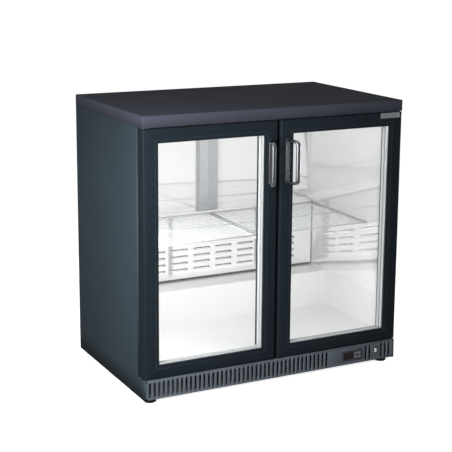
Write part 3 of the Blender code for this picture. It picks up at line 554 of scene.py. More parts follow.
def cut(obj, cutter):
    """Takes a closed shape away from a piece for good."""
    mesh = bpy.data.meshes.new("cutter")
    bmesh.ops.recalc_face_normals(cutter, faces=cutter.faces)
    cutter.to_mesh(mesh)
    cutter.free()
    tool = bpy.data.objects.new("cutter", mesh)
    scene.collection.objects.link(tool)
    modifier = obj.modifiers.new("Cut", "BOOLEAN")
    modifier.operation = "DIFFERENCE"
    modifier.solver = "EXACT"
    modifier.object = tool
    graph = bpy.context.evaluated_depsgraph_get()
    result = bpy.data.meshes.new_from_object(obj.evaluated_get(graph))
    obj.modifiers.remove(modifier)
    before = obj.data
    obj.data = result
    bpy.data.meshes.remove(before)
    bpy.data.objects.remove(tool)
    bpy.data.meshes.remove(mesh)


def door_rectangle(sign, outer_x, inner_x, low_z, high_z):
    ends = sorted((sign * outer_x, sign * inner_x))
    return ends[0], low_z, ends[1], high_z


def carry_over(node, slot, width=0.0):
    """Keeps a CAD node as it is, with a finish, and rounds its edges with a modifier."""
    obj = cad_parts[node]
    obj.data.materials.clear()
    obj.data.materials.append(FINISH[slot])
    if width:
        modifier = obj.modifiers.new("Bevel", "BEVEL")
        modifier.width = width
        modifier.segments = 2
        modifier.limit_method = "ANGLE"
        modifier.angle_limit = math.radians(40)
    return obj


# ---------------------------------------------------------------- cabinet

def make_worktop():
    """A folded steel pan: its top and sides are one sheet with round folds."""
    shape = box((-HALF_WIDTH, FRONT_Y, WORKTOP_BOTTOM), (HALF_WIDTH, BACK_Y, HEIGHT))
    bmesh.ops.recalc_face_normals(shape, faces=shape.faces)
    bottom = [f for f in shape.faces if f.normal.z < -0.5]
    bmesh.ops.delete(shape, geom=bottom, context="FACES_ONLY")
    round_off(shape, [e for e in shape.edges if len(e.link_faces) == 2], 0.0036, 5)
    thicken(piece("worktop_pan", shape, "cabinet", "worktop_steel", ["worktop"]), 0.0015, -1.0)
    carry_over("worktop_core", "worktop_core")


def make_side_panel(side, sign):
    """A folded sheet: its front edge turns in behind the door, and its toe turns in beside the plinth."""
    radius, back_radius = 0.0028, 0.002
    back_y = BACK_Y - 0.0020
    bend = (sign * HALF_WIDTH, BODY_FRONT_Y + radius)
    shape = bmesh.new()
    made = {}

    def fold(front, reach):
        turn = arc((HALF_WIDTH - radius, front + radius), radius, 0, -90, 5)
        return [*((sign * x, y) for x, y in turn), (sign * (HALF_WIDTH - reach), front)]

    def corner(x, y, z):
        key = (round(x, 6), round(y, 6), z)
        if key not in made:
            made[key] = shape.verts.new((x, y, z))
        return made[key]

    def strip(run, low, high):
        for a, b in zip(run, run[1:]):
            face = [corner(*a, low), corner(*b, low), corner(*b, high), corner(*a, high)]
            shape.faces.new(face[::sign])

    turn = arc((HALF_WIDTH - back_radius, back_y - back_radius), back_radius, 90, 0, 4)
    behind = [(sign * (HALF_WIDTH - 0.0115), back_y), *((sign * x, y) for x, y in turn), bend]
    strip(behind, BODY_BOTTOM, PLINTH_TOP)
    strip(behind, PLINTH_TOP, BODY_TOP)
    strip([bend, *fold(FRONT_Y, 0.0100)], BODY_BOTTOM, PLINTH_TOP)
    strip(fold(BODY_FRONT_Y, 0.0120), PLINTH_TOP, BODY_TOP)
    panel = piece(f"side_sheet_{side}", shape, "cabinet", "cabinet_steel", [f"side_panel_{side}"],
                  outward=False)
    thicken(panel, 0.0012, 1.0)


def make_rear_panel():
    """A zinc-coated back with rows of hooded louvres over the machine room, and its edge screws."""
    low_slot, slot_pitch, slot_height = 0.040, 0.018, 0.007
    face_y = BACK_Y - 0.003
    us = slot_lines(-INSIDE_HALF, INSIDE_HALF, 0.120, 0.140)
    vs = [BODY_BOTTOM + GAP]
    for row in range(7):
        vs += [low_slot + row * slot_pitch, low_slot + row * slot_pitch + slot_height]
    vs.append(BODY_TOP - GAP)
    shape = slotted_plate(us, vs, "y", face_y - 0.0012, face_y)
    hood = [
        (0.0, 0.0022), (0.0014, 0.0016), (0.0026, -0.0005), (0.0028, -0.0030),
        (0.0020, -0.0030), (0.0018, -0.0008), (0.0006, 0.0008), (0.0, 0.0010),
    ]
    cheek = [(0.0, 0.0020), (0.0026, -0.0006), (0.0026, -0.0030), (0.0, -0.0030)]
    for left, right in zip(us[1::2], us[2::2]):
        for slot_top in vs[2::2]:
            add(shape, prism(moved(hood, face_y, slot_top), "x", left + 0.001, right - 0.001))
            for x in (left + 0.001, right - 0.0018):
                add(shape, prism(moved(cheek, face_y, slot_top), "x", x, x + 0.0008))
    bead = [(0.0, -0.006), (0.0012, -0.003), (0.0016, 0.0), (0.0012, 0.003), (0.0, 0.006)]
    for z in (0.235, 0.520, 0.800):
        for x in (-0.20, 0.20):
            add(shape, prism(moved(bead, face_y, z), "x", x - 0.16, x + 0.16))
    piece("rear_sheet", shape, "cabinet", "galvanised_steel", ["rear_panel"], smooth=30)

    heads = bmesh.new()
    upper_row = 0.826
    places = [(x, z) for x in (-0.438, 0.438) for z in (0.030, 0.200, 0.370, 0.540, 0.710, upper_row)]
    places += [(x, upper_row) for x in (-0.30, -0.15, 0.0, 0.15, 0.30)]
    for x, z in places:
        add(heads, screw(x, face_y, z, 1.0, 0.0042))
    piece("rear_screws", heads, "cabinet", "compressor_steel")

    gland = [
        (0.0, -0.018), (0.0088, -0.018), (0.0088, -0.0060), (0.0088, -0.0027), (0.0136, -0.0027),
        (0.0140, -0.0021), (0.0138, -0.0012), (0.0120, -0.0006), (0.0092, 0.0), (0.0064, 0.0),
        (0.0048, -0.0010), (0.0036, -0.0030), (0.0036, -0.014), (0.0, -0.014),
    ]
    piece("inlet_gland", turned(gland, "y", (-0.400, BACK_Y, 0.180), 36), "cabinet", "gland_plastic",
          ["mains_inlet_gland"])


def make_feet():
    """Levelling feet: a rubber pad, a hexagon nut over it and a short threaded stem."""
    pad = [
        (0.0, 0.0), (0.0172, 0.0), (0.0183, 0.0005), (0.0189, 0.0016), (0.0190, 0.0044),
        (0.0184, 0.0056), (0.0165, 0.0062), (0.0110, 0.0066), (0.0, 0.0066),
    ]
    nut = [
        (0.0, 0.0066), (0.0084, 0.0066), (0.0090, 0.0072),
        (0.0090, 0.0106), (0.0084, 0.0112), (0.0, 0.0112),
    ]
    stem = [(0.0, 0.0112)]
    for turn in range(4):
        z = 0.0112 + turn * 0.0009
        stem += [(0.0050, z), (0.0057, z + 0.00045)]
    stem += [(0.0050, 0.0149), (0.0, 0.0149)]
    foot_x, front_y, rear_y = 0.418, -0.218, 0.268
    for end, y in (("front", front_y), ("rear", rear_y)):
        for side, sign in SIDES.items():
            place = (sign * foot_x, y, 0.0)
            shape = turned(pad, "z", place, 40)
            add(shape, turned(nut, "z", place, 6), turned(stem, "z", place, 24))
            piece(f"levelling_foot_{end}_{side}", shape, "cabinet", "foot_rubber", [f"foot_{end}_{side}"],
                  smooth=30)


def make_liner():
    """The cold space: one thin bright shell with small round folds and a flange behind the front frame."""
    outline = [
        (LINER_FRONT, LINER_FLOOR), (STEP_FRONT, LINER_FLOOR), (STEP_FRONT, STEP_TOP),
        (LINER_BACK, STEP_TOP), (LINER_BACK, LINER_CEILING), (LINER_FRONT, LINER_CEILING),
    ]
    shape = prism(outline, "x", -LINER_HALF, LINER_HALF)
    bmesh.ops.recalc_face_normals(shape, faces=shape.faces)
    mouth = [f for f in shape.faces if f.normal.y < -0.5 and f.calc_center_median().y < LINER_FRONT + 0.001]
    bmesh.ops.delete(shape, geom=mouth, context="FACES_ONLY")
    round_off(shape, [e for e in shape.edges if len(e.link_faces) == 2], 0.0032, 3)
    rim = [e for e in shape.edges if len(e.link_faces) == 1]
    grown = bmesh.ops.extrude_edge_only(shape, edges=rim)["geom"]
    flange = 0.0158
    middle, half_height = (LINER_FLOOR + LINER_CEILING) / 2, (LINER_CEILING - LINER_FLOOR) / 2
    for vert in (g for g in grown if isinstance(g, bmesh.types.BMVert)):
        vert.co.x *= (LINER_HALF + flange) / LINER_HALF
        vert.co.z = middle + (vert.co.z - middle) * (half_height + flange) / half_height
    bmesh.ops.recalc_face_normals(shape, faces=shape.faces)
    liner = piece("liner_shell", shape, "cabinet", "liner_aluminium", ["inner_liner"])
    floor = max(liner.data.polygons, key=lambda p: p.area)
    inward = (Vector((0, 0.0, 0.5)) - floor.center).dot(floor.normal) > 0
    thicken(liner, 0.0014, -1.0 if inward else 1.0)

    outer = (-HALF_WIDTH + 0.0123, PLINTH_TOP + GAP, HALF_WIDTH - 0.0123, BODY_TOP - GAP)
    inner = (-LINER_HALF, LINER_FLOOR, LINER_HALF, LINER_CEILING)
    section = moved([
        ("outer", 0.0, 0.0004), ("outer", 0.0004, 0.0), ("inner", 0.0075, 0.0), ("inner", 0.0070, 0.0005),
        ("inner", 0.0055, 0.0005), ("inner", 0.0050, 0.0), ("inner", 0.0005, 0.0), ("inner", 0.0, 0.0005),
        ("inner", 0.0, 0.0012), ("outer", 0.0, 0.0012),
    ], BODY_FRONT_Y)
    seal_frame = mitred_frame(outer, inner, section)
    piece("seal_frame", seal_frame, "cabinet", "front_frame_plastic", ["front_frame"])
    carry_over("centre_mullion", "front_frame_plastic", 0.0006)
    carry_over("foam_insulation", "foam")
    carry_over("base_tray", "galvanised_steel", 0.0003)


def make_grille():
    """The plinth: upright ribs with round fronts between two rails, and flat panels for the controls."""
    low, high = BODY_BOTTOM + GAP, PLINTH_TOP - GAP
    low_rail, high_rail = low + 0.0075, high - 0.0080
    front, back = GRILLE_Y - 0.0004, GRILLE_Y + 0.0020
    rib_proud, rib_overlap = 0.0017, 0.0008
    shape = box((-INSIDE_HALF, front, low), (INSIDE_HALF, back, low_rail), 0.0009, 3)
    add(shape, box((-INSIDE_HALF, front, high_rail), (INSIDE_HALF, back, high), 0.0009, 3))
    add(shape, box((-INSIDE_HALF, back + 0.0001, high - 0.0016),
                   (INSIDE_HALF, BODY_FRONT_Y - GAP, high - 0.0001)))
    us = slot_lines(-INSIDE_HALF, INSIDE_HALF, GRILLE_SLOT, GRILLE_PITCH)
    edges = [us[0]]
    for left, right in zip(us[1::2], us[2::2]):
        if not any(right > a and left < b for a, b in GRILLE_BLANKS):
            edges += [left, right]
    edges.append(us[-1])
    for left, right in zip(edges[::2], edges[1::2]):
        if right - left > GRILLE_PITCH:
            add(shape, *window_panel(left, right, back, low_rail, high_rail))
            continue
        middle, half = (left + right) / 2, (right - left) / 2
        crown = [(middle + half * x, GRILLE_Y - rib_proud * y) for x, y in arc((0.0, 0.0), 1.0, 165, 15, 8)]
        outline = [(left, back), (left, GRILLE_Y), *crown, (right, GRILLE_Y), (right, back)]
        add(shape, prism(outline, "z", low_rail - rib_overlap, high_rail + rib_overlap))
    piece("plinth_grille", shape, "cabinet", "plinth_plastic", ["front_grille"], smooth=40)


def window_panel(left, right, back, low, high):
    """A flat stretch of the plinth with an opening for the control behind it."""
    for_switch = left < SWITCH_X < right
    hole = around(SWITCH_X, SWITCH_Z, 0.0065, 0.0095) if for_switch else inset(CONTROLLER, 0.003)
    x0, z0, x1, z1 = hole
    spans = [(left, x0, low, high), (x1, right, low, high), (x0, x1, low, z0), (x0, x1, z1, high)]
    return [box((a, GRILLE_Y, c), (b, back, d), 0.0004) for a, b, c, d in spans]


def make_controller():
    """A rimmed case with a display window and two lamps, and four keys that each ride on their own body."""
    front, case_back = FRONT_Y - 0.0005, -0.212
    keys = {
        "set": (0.2995, 0.0512), "up": (0.3135, 0.0512),
        "down": (0.3135, 0.0388), "defrost": (0.2995, 0.0388),
    }
    half_x, half_z, clear = 0.0050, 0.0042, 0.0004
    left, bottom, _, top = CONTROLLER
    lens = (left + 0.006, bottom + 0.006, left + 0.042, top - 0.006)
    holes = [lens, *(around(x, z, half_x + clear, half_z + clear) for x, z in keys.values())]

    rim = moved([
        ("outer", 0.0, 0.0016), ("outer", 0.0003, 0.0006), ("outer", 0.0012, 0.0),
        ("inner", 0.0009, 0.0), ("inner", 0.0, 0.0007), ("inner", 0.0, 0.0016),
    ], front)
    inner = inset(CONTROLLER, 0.0034)
    shape = frame_ring(CONTROLLER, inner, rim)
    us = sorted({x for rectangle in (inner, *holes) for x in rectangle[::2]})
    vs = sorted({z for rectangle in (inner, *holes) for z in rectangle[1::2]})
    face_front, face_back = front + 0.0008, front + 0.0018
    cells = bmesh.new()
    for u0, u1 in zip(us, us[1:]):
        for v0, v1 in zip(vs, vs[1:]):
            u, v = (u0 + u1) / 2, (v0 + v1) / 2
            hollow = any(x0 < u < x1 and z0 < v < z1 for x0, z0, x1, z1 in holes)
            if u1 - u0 > 1e-5 and v1 - v0 > 1e-5 and not hollow:
                add(cells, box((u0, face_front, v0), (u1, face_back, v1)))
    bmesh.ops.remove_doubles(cells, verts=cells.verts, dist=1e-6)
    inside = [f for f in cells.faces
              if any(g is not f and set(g.edges) == set(f.edges) for g in f.edges[0].link_faces)]
    bmesh.ops.delete(cells, geom=inside, context="FACES")
    add(shape, cells)
    add(shape, box((inner[0], face_back + 0.0040, inner[1]), (inner[2], case_back, inner[3]), 0.001))
    lamp = moved([(0.0, 0.0), (0.0007, 0.0), (0.0006, -0.0003), (0.0, -0.0004)], face_front)
    for z in (top - 0.0080, top - 0.0120):
        add(shape, turned(lamp, "y", (left + 0.0447, 0, z), 12))
    piece("controller_case", shape, "cabinet", "controller_plastic", ["controller_housing"], smooth=35)

    window = prism(rounded_rectangle(inset(lens, GAP), 0.0012), "y", front + 0.0002, front + 0.0009)
    piece("display_window", rounded(window, 0.0002, 2, 60), "cabinet", "display_lens", ["controller_display"])

    size, key_front, key_back = 0.0017, front - 0.0010, front + 0.0038
    for name, (x, z) in keys.items():
        outline = rounded_rectangle(around(x, z, half_x, half_z), 0.0012)
        key = rounded(prism(outline, "y", key_front, key_back), 0.0005, 3, 60)
        marks = {
            "up": [(x - size, z - size * 0.6), (x + size, z - size * 0.6), (x, z + size)],
            "down": [(x - size, z + size * 0.6), (x, z - size), (x + size, z + size * 0.6)],
            "set": list(arc((x, z), size * 0.7, 0, 330, 11)),
            "defrost": list(arc((x, z), size, 0, 270, 3)),
        }
        add(key, prism(marks[name], "y", key_front - 0.0002, key_front + 0.0001))
        piece(f"key_{name}", key, f"{name}_button", "button_plastic", [f"button_{name}"])


def make_lamp_switch():
    """The interior lamp's switch: a rimmed case with its back box, and a rocker tipped to one side."""
    x, z = SWITCH_X, SWITCH_Z
    rim_back, front = GRILLE_Y - GAP, GRILLE_Y - GAP - 0.0012
    shaft_back = GRILLE_Y + 0.010
    rim = [
        ("outer", 0.0, rim_back), ("outer", 0.0002, front + 0.0004), ("outer", 0.0009, front),
        ("inner", 0.0008, front), ("inner", 0.0, front + 0.0006), ("inner", 0.0, shaft_back),
        ("inner", 0.0012, shaft_back), ("inner", 0.0012, rim_back),
    ]
    shape = frame_ring(around(x, z, 0.0085, 0.0115), around(x, z, 0.0050, 0.0082), rim)
    x0, z0, x1, z1 = around(x, z, 0.0062, 0.0092)
    add(shape, box((x0, shaft_back + 0.0001, z0), (x1, GRILLE_Y + 0.016, z1), 0.0005))
    piece("switch_case", shape, "cabinet", "controller_plastic", ["lamp_switch_body"])

    reach, tilt = 0.0068, math.radians(8.0)
    pivot_y = GRILLE_Y + 0.0045
    front_half = [(-0.0066, 1.0), (-0.0062, 0.72), (-0.0057, 0.35)]
    outline = [(y, -reach * share) for y, share in front_half] + [(-0.0055, 0.0)]
    outline += [(y, reach * share) for y, share in reversed(front_half)]
    outline += [(y, reach * share) for y, share in (
        (0.0, 0.9), (0.0026, 0.3), (0.0030, 0.0), (0.0026, -0.3), (0.0, -0.9),
    )]
    cos, sin = math.cos(tilt), math.sin(tilt)
    leaning = [(pivot_y + y * cos - w * sin, z + y * sin + w * cos) for y, w in outline]
    rocker = rounded(prism(leaning, "x", x - 0.0046, x + 0.0046), 0.0004, 2, 50)
    piece("switch_rocker", rocker, "lamp_switch", "rocker_plastic", ["lamp_switch_rocker"])


def make_hinges():
    """Four brackets, each a plate with the upright pin that its door turns on."""
    thick, tip, pin_radius, tip_radius = 0.0022, 0.0008, 0.003, 0.0022
    for side, sign in SIDES.items():
        for end in ("upper", "lower"):
            node = f"hinge_bracket_{end}_{side}"
            low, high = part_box(node)
            outline = rounded_rectangle((low.x, low.y, high.x, high.y), 0.004)
            if end == "upper":
                plate_low = high.z - thick
                pin_low, pin_high = low.z, plate_low + 0.001
                low_radius, high_radius = tip_radius, pin_radius
            else:
                plate_low = low.z
                pin_low, pin_high = plate_low + 0.001, high.z
                low_radius, high_radius = pin_radius, tip_radius
            shape = rounded(prism(outline, "z", plate_low, plate_low + thick), 0.0003, 2, 60)
            pin = [
                (0.0, pin_low), (low_radius, pin_low), (pin_radius, pin_low + tip),
                (pin_radius, pin_high - tip), (high_radius, pin_high), (0.0, pin_high),
            ]
            add(shape, turned(pin, "z", (sign * PIVOT_X, PIVOT_Y, 0.0), 24))
            piece(f"hinge_{end}_{side}", shape, "cabinet", "galvanised_steel", [node])


# ---------------------------------------------------------------- doors

def make_door(side, sign):
    """A mitred profile round two panes with their spacer, a glazing bead, a seal and the handle."""
    body = f"door_{side}"
    outer = door_rectangle(sign, DOOR_OUTER, DOOR_INNER, DOOR_BOTTOM, DOOR_TOP)
    glass = door_rectangle(sign, GLASS_OUTER, GLASS_INNER, GLASS_BOTTOM, GLASS_TOP)
    section = moved([
        ("outer", 0.0, 0.0050), ("outer", 0.0003, 0.0031), ("outer", 0.0013, 0.0014),
        ("outer", 0.0029, 0.0004), ("outer", 0.0050, 0.0),
        ("inner", 0.0128, 0.0), ("inner", 0.0121, 0.0012), ("inner", 0.0105, 0.0012),
        ("inner", 0.0098, 0.0002), ("inner", 0.0040, 0.0005), ("inner", 0.0016, 0.0012),
        ("inner", 0.0003, 0.0024), ("inner", 0.0, 0.0040), ("inner", REBATE, 0.0040),
    ], FRONT_Y)
    section += moved([
        ("inner", REBATE, 0.0), ("outer", 0.0024, 0.0), ("outer", 0.0007, -0.0007), ("outer", 0.0, -0.0024),
    ], DOOR_BACK_Y)
    profile = piece(f"door_profile_{side}", mitred_frame(outer, glass, section), body, "door_frame_aluminium",
                    [f"door_frame_{side}"], smooth=34)
    bore, depth, past = 0.0035, 0.0135, 0.002
    for low, high in ((DOOR_BOTTOM - past, DOOR_BOTTOM + depth), (DOOR_TOP - depth, DOOR_TOP + past)):
        drill = [(0.0, low), (bore, low), (bore, high), (0.0, high)]
        cut(profile, turned(drill, "z", (sign * PIVOT_X, PIVOT_Y, 0.0), 32))

    pane = inset(glass, -PANE_GROWTH)
    for layer in ("outer_glass", "inner_glass"):
        low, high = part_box(f"door_{layer}_{side}")
        sheet = rounded(prism(rounded_rectangle(pane, 0.0015, 3), "y", low.y, high.y), 0.0005, 1, 60)
        piece(f"pane_{layer[:5]}_{side}", sheet, body, "door_glass", [f"door_{layer}_{side}"])

    low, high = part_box(f"door_spacer_{side}")
    shoulder = 0.0011
    spacer = [
        ("outer", 0.0, low.y), ("inner", shoulder, low.y), ("inner", 0.0, low.y + shoulder),
        ("inner", 0.0, high.y - shoulder), ("inner", shoulder, high.y), ("outer", 0.0, high.y),
    ]
    piece(f"spacer_bar_{side}", frame_ring(pane, glass, spacer), body, "spacer_aluminium",
          [f"door_spacer_{side}"])

    low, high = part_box(f"glazing_bead_{side}")
    bead = moved([("outer", 0.0, 0.0), ("inner", 0.0006, 0.0), ("inner", 0.0, 0.0008)], low.y)
    bead += moved([
        ("inner", 0.0, -0.0046), ("inner", 0.0008, -0.0022), ("inner", 0.0026, -0.0006),
        ("inner", 0.0048, 0.0), ("outer", 0.0, 0.0),
    ], high.y)
    piece(f"bead_strip_{side}", mitred_frame(pane, glass, bead, 0.00012), body, "bead_plastic",
          [f"glazing_bead_{side}"])

    low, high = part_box(f"door_gasket_{side}")
    seal_outer = (low.x, low.z, high.x, high.z)
    front, back = low.y, high.y
    folds = [
        (0.0016, front), (0.0002, front + 0.0008), (0.0018, front + 0.0017), (0.0, front + 0.0030),
        (0.0006, back - 0.0007), (0.0022, back),
    ]
    groove = [(0.0048, back), (0.0054, back - 0.0006)]
    half = [*folds, *groove]
    seal = [("outer", away, y) for away, y in half] + [("inner", away, y) for away, y in reversed(half)]
    piece(f"seal_{side}", frame_ring(seal_outer, inset(seal_outer, 0.0115), seal), body, "gasket_rubber",
          [f"door_gasket_{side}"], smooth=50)
    make_handle(side, sign, body)


def make_handle(side, sign, body):
    """A bent chrome bar that leans away from the other door. Its feet swell where they meet a slim plate."""
    x = sign * HANDLE_X
    low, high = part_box(f"door_handle_{side}")
    half_depth, radius = 0.0050, 0.0130
    bar_y = low.y + half_depth
    leg_low, leg_high = low.z + 0.0065, high.z - 0.0065
    plate_front = FRONT_Y - GAP - 0.0030
    outline = rounded_rectangle((x - 0.0075, low.z, x + 0.0075, high.z), 0.0073, 8)
    plate = rounded(prism(outline, "y", plate_front, FRONT_Y - GAP), 0.0009, 3, 60)
    root_y = plate_front + 0.0010
    leg = (0.0, 0.0030, 0.0070, 0.0140)
    middle = (leg_low + leg_high) / 2
    run = [(root_y - reach, leg_low) for reach in leg]
    run += list(arc((bar_y + radius, leg_low + radius), radius, 270, 180, 10))
    run += [(bar_y, middle - 0.025), (bar_y, middle), (bar_y, middle + 0.025)]
    run += list(arc((bar_y + radius, leg_high - radius), radius, 180, 90, 10))
    run += [(root_y - reach, leg_high) for reach in reversed(leg)]
    flare = [1.10, 1.08, 1.02, 1.0]
    sizes = flare + [1.0] * (len(run) - 2 * len(flare)) + flare[::-1]
    bar = sweep([(x, y, z) for y, z in run], oval(0.0068, half_depth, 24), sizes)
    for vert in bar.verts:
        vert.co.x += sign * HANDLE_LEAN * (root_y - vert.co.y) / (root_y - bar_y)
    add(plate, bar)
    piece(f"pull_{side}", plate, body, "handle_chrome", [f"door_handle_{side}"], smooth=50)


def make_badge():
    """A blank plate with a raised rim at the outer end of the right door's top rail."""
    low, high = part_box("badge_plate")
    edge = (low.x, low.z, high.x, high.z)
    shape = rounded(prism(rounded_rectangle(edge, 0.0022), "y", low.y + 0.0004, high.y), 0.0003, 2, 60)
    rim = moved([
        ("outer", 0.0008, 0.0006), ("outer", 0.0010, 0.0), ("inner", 0.0002, 0.0), ("inner", 0.0, 0.0006),
    ], low.y)
    add(shape, frame_ring(inset(edge, 0.0004), inset(edge, 0.0028), rim))
    piece("blank_badge", shape, "door_right", "badge_metal", ["badge_plate"])


# ---------------------------------------------------------------- inside

def make_cover():
    """The slotted cover in front of the evaporator, with a blade behind each slot, and the duct above it."""
    low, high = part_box("evaporator_cover")
    wall, fold = 0.0015, 0.0030
    column_pitch, half_slot, row_pitch, slot_height = 0.0840, 0.032, 0.0230, 0.0090
    us = [low.x]
    for column in range(-4, 6):
        middle = 0.0070 + (column - 0.5) * column_pitch
        if low.x < middle - half_slot and middle + half_slot < high.x:
            us += [middle - half_slot, middle + half_slot]
    us.append(high.x)
    vs = [low.z]
    for row in range(4):
        vs += [0.2605 + row * row_pitch, 0.2605 + row * row_pitch + slot_height]
    vs.append(high.z - fold)
    shape = slotted_plate(us, vs, "y", low.y, low.y + wall, 5)
    blade = [(0.0, -0.0014), (0.0040, 0.0046), (0.0046, 0.0042), (0.0008, -0.0018)]
    for left, right in zip(us[1::2], us[2::2]):
        for slot_low in vs[1:-1:2]:
            add(shape, prism(moved(blade, low.y + wall, slot_low), "x", left + 0.001, right - 0.001))
    top = high.z
    bend = (low.y + fold, top - fold)
    hood = [(low.y, top - fold), *arc(bend, fold, 180, 90, 5)]
    hood += [(high.y, top), (high.y, top - wall), (low.y + fold, top - wall), *arc(bend, wall, 90, 180, 4)]
    add(shape, prism(hood, "x", low.x, high.x))
    for x in (low.x + 0.012, -0.195, 0.209, high.x - 0.012):
        for z in (0.2440, 0.3560, 0.4450):
            add(shape, screw(x, low.y, z, -1.0, 0.0032))
    piece("cooler_cover", shape, "cabinet", "liner_aluminium", ["evaporator_cover"], smooth=35)

    low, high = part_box("rear_air_duct")
    slope = 0.006
    rib = moved([
        (-0.0026, 0.0), (-0.0018, -0.0012), (0.0, -0.0018), (0.0018, -0.0012), (0.0026, 0.0),
    ], low.y)
    outline = [
        (low.x, high.y), (low.x, high.y - 0.002), (low.x + slope, low.y), *rib,
        (high.x - slope, low.y), (high.x, high.y - 0.002), (high.x, high.y),
    ]
    duct = rounded(prism(outline, "z", low.z, high.z), 0.0006, 2, 35)
    for z in (low.z + 0.020, (low.z + high.z) / 2, high.z - 0.020):
        for x in (low.x + slope + 0.007, high.x - slope - 0.007):
            add(duct, screw(x, low.y, z, -1.0, 0.003))
    piece("air_channel", duct, "cabinet", "coil_aluminium", ["rear_air_duct"], smooth=35)


def finned_coil(name, axis, pitch):
    """A stack of thin fins on rows of tube with round return bends, inside a coil's box."""
    node = f"{name}_coil"
    low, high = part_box(node)
    along = "xy".index(axis)
    across = 1 - along
    margin, fin, radius, rows = 0.006, 0.0005, 0.0038, 8
    start, end = low[along] + margin, high[along] - margin
    count = int((end - start) / pitch)
    shape = bmesh.new()
    for i in range(count + 1):
        a, b = list(low), list(high)
        a[along] = start + i * (end - start) / count - fin / 2
        b[along] = a[along] + fin
        add(shape, box(a, b))
    piece(f"{name}_fins", shape, "cabinet", "coil_aluminium", [node])

    def spot(u, v, z):
        return (u, v, z) if axis == "x" else (v, u, z)

    tubes = bmesh.new()
    places = [low[across] + (high[across] - low[across]) * share for share in (0.3, 0.7)]
    step = (high.z - low.z) / rows
    for row in range(rows):
        z = low.z + step * (row + 0.5)
        place, next_place = places[row % 2], places[(row + 1) % 2]
        add(tubes, rod(spot(start, place, z), spot(end, place, z), radius, 12))
        if row == rows - 1:
            break
        side, out = (start, -1) if row % 2 else (end, 1)
        bend = []
        for t in range(9):
            turn = math.pi * t / 8
            share = (1 - math.cos(turn)) / 2
            reach = side + out * (margin - radius) * math.sin(turn)
            bend.append(spot(reach, place + (next_place - place) * share, z + step * share))
        add(tubes, sweep(bend, oval(radius, radius, 12)))
    piece(f"{name}_tubes", tubes, "cabinet", "pipe_copper")


def make_fan(name, axis, centre, radius, half_depth):
    """A square fan frame with a round throat and spokes, and a wheel of curved blades on its own body."""
    half_side, chamfer = radius + 0.004, 1.30
    count, spokes, blades = 48, 4, 7
    shape = bmesh.new()
    turns = [math.tau * k / count for k in range(count)]

    def at(u, v, w):
        return Vector(placed(axis, u, v, w)) + Vector(centre)

    def on_throat(turn, level, flare):
        return at((radius + flare) * math.cos(turn), (radius + flare) * math.sin(turn), level)

    def on_square(turn, level):
        u, v = math.cos(turn), math.sin(turn)
        scale = half_side * min(1 / max(abs(u), abs(v)), chamfer)
        return at(u * scale, v * scale, level)

    levels = [
        (-half_depth, 0.0022), (-half_depth + 0.003, 0.0), (half_depth - 0.003, 0.0), (half_depth, 0.0022),
    ]
    inner = [[shape.verts.new(on_throat(turn, *level)) for turn in turns] for level in levels]
    near, far = [[shape.verts.new(on_square(turn, w)) for turn in turns] for w in (-half_depth, half_depth)]
    skin(shape, [near, *inner, far, near], ends=False)
    spoke_low, spoke_high = half_depth * 0.55, half_depth - 0.0004
    for spoke in range(spokes):
        turn = math.tau * spoke / spokes
        u, v = math.cos(turn), math.sin(turn)
        corners = []
        for reach in (0.012, radius + 0.001):
            for across in (-0.0028, 0.0028):
                for level in (spoke_low, spoke_high):
                    corners.append(at(u * reach - v * across, v * reach + u * across, level))
        add(shape, rounded(hexahedron(corners), 0.0006, 2, 40))
    hub = [
        (0.0, spoke_low - 0.0010), (0.0168, spoke_low - 0.0010), (0.0180, spoke_low + 0.0004),
        (0.0180, spoke_high - 0.0012), (0.0168, spoke_high), (0.0, spoke_high),
    ]
    add(shape, turned(hub, axis, centre, 36))
    piece(f"{name}_frame", shape, "cabinet", "fan_plastic", [f"{name}_motor"])

    low, high = -half_depth + 0.001, spoke_low - 0.0022
    cap = moved([(0.0, 0.0), (0.0130, 0.0), (0.0160, 0.0008), (0.0170, 0.0026)], low)
    cap += [(0.0170, high), (0.0, high)]
    wheel = turned(cap, axis, centre, 36)
    root, thick = 0.0155, 0.0010
    for blade in range(blades):
        rings = []
        for step in range(7):
            part = step / 6
            reach = root + (radius - 0.0035 - root) * part
            half_sweep = 0.40 - 0.14 * part
            middle = math.tau * blade / blades + 0.22 * part * part
            section = []
            for face_side, places in ((-1, range(5)), (1, range(4, -1, -1))):
                for share in (k / 4 for k in places):
                    angle = middle + half_sweep * (2 * share - 1)
                    camber = 0.0012 * math.sin(math.pi * share)
                    height = low + 0.0014 + (high - low - 0.0028) * share - camber + face_side * thick / 2
                    point = at(reach * math.cos(angle), reach * math.sin(angle), height)
                    section.append(wheel.verts.new(point))
            rings.append(section)
        skin(wheel, rings)
    piece(f"{name}_blades", wheel, name, "fan_plastic", [f"{name}_wheel"], smooth=45)


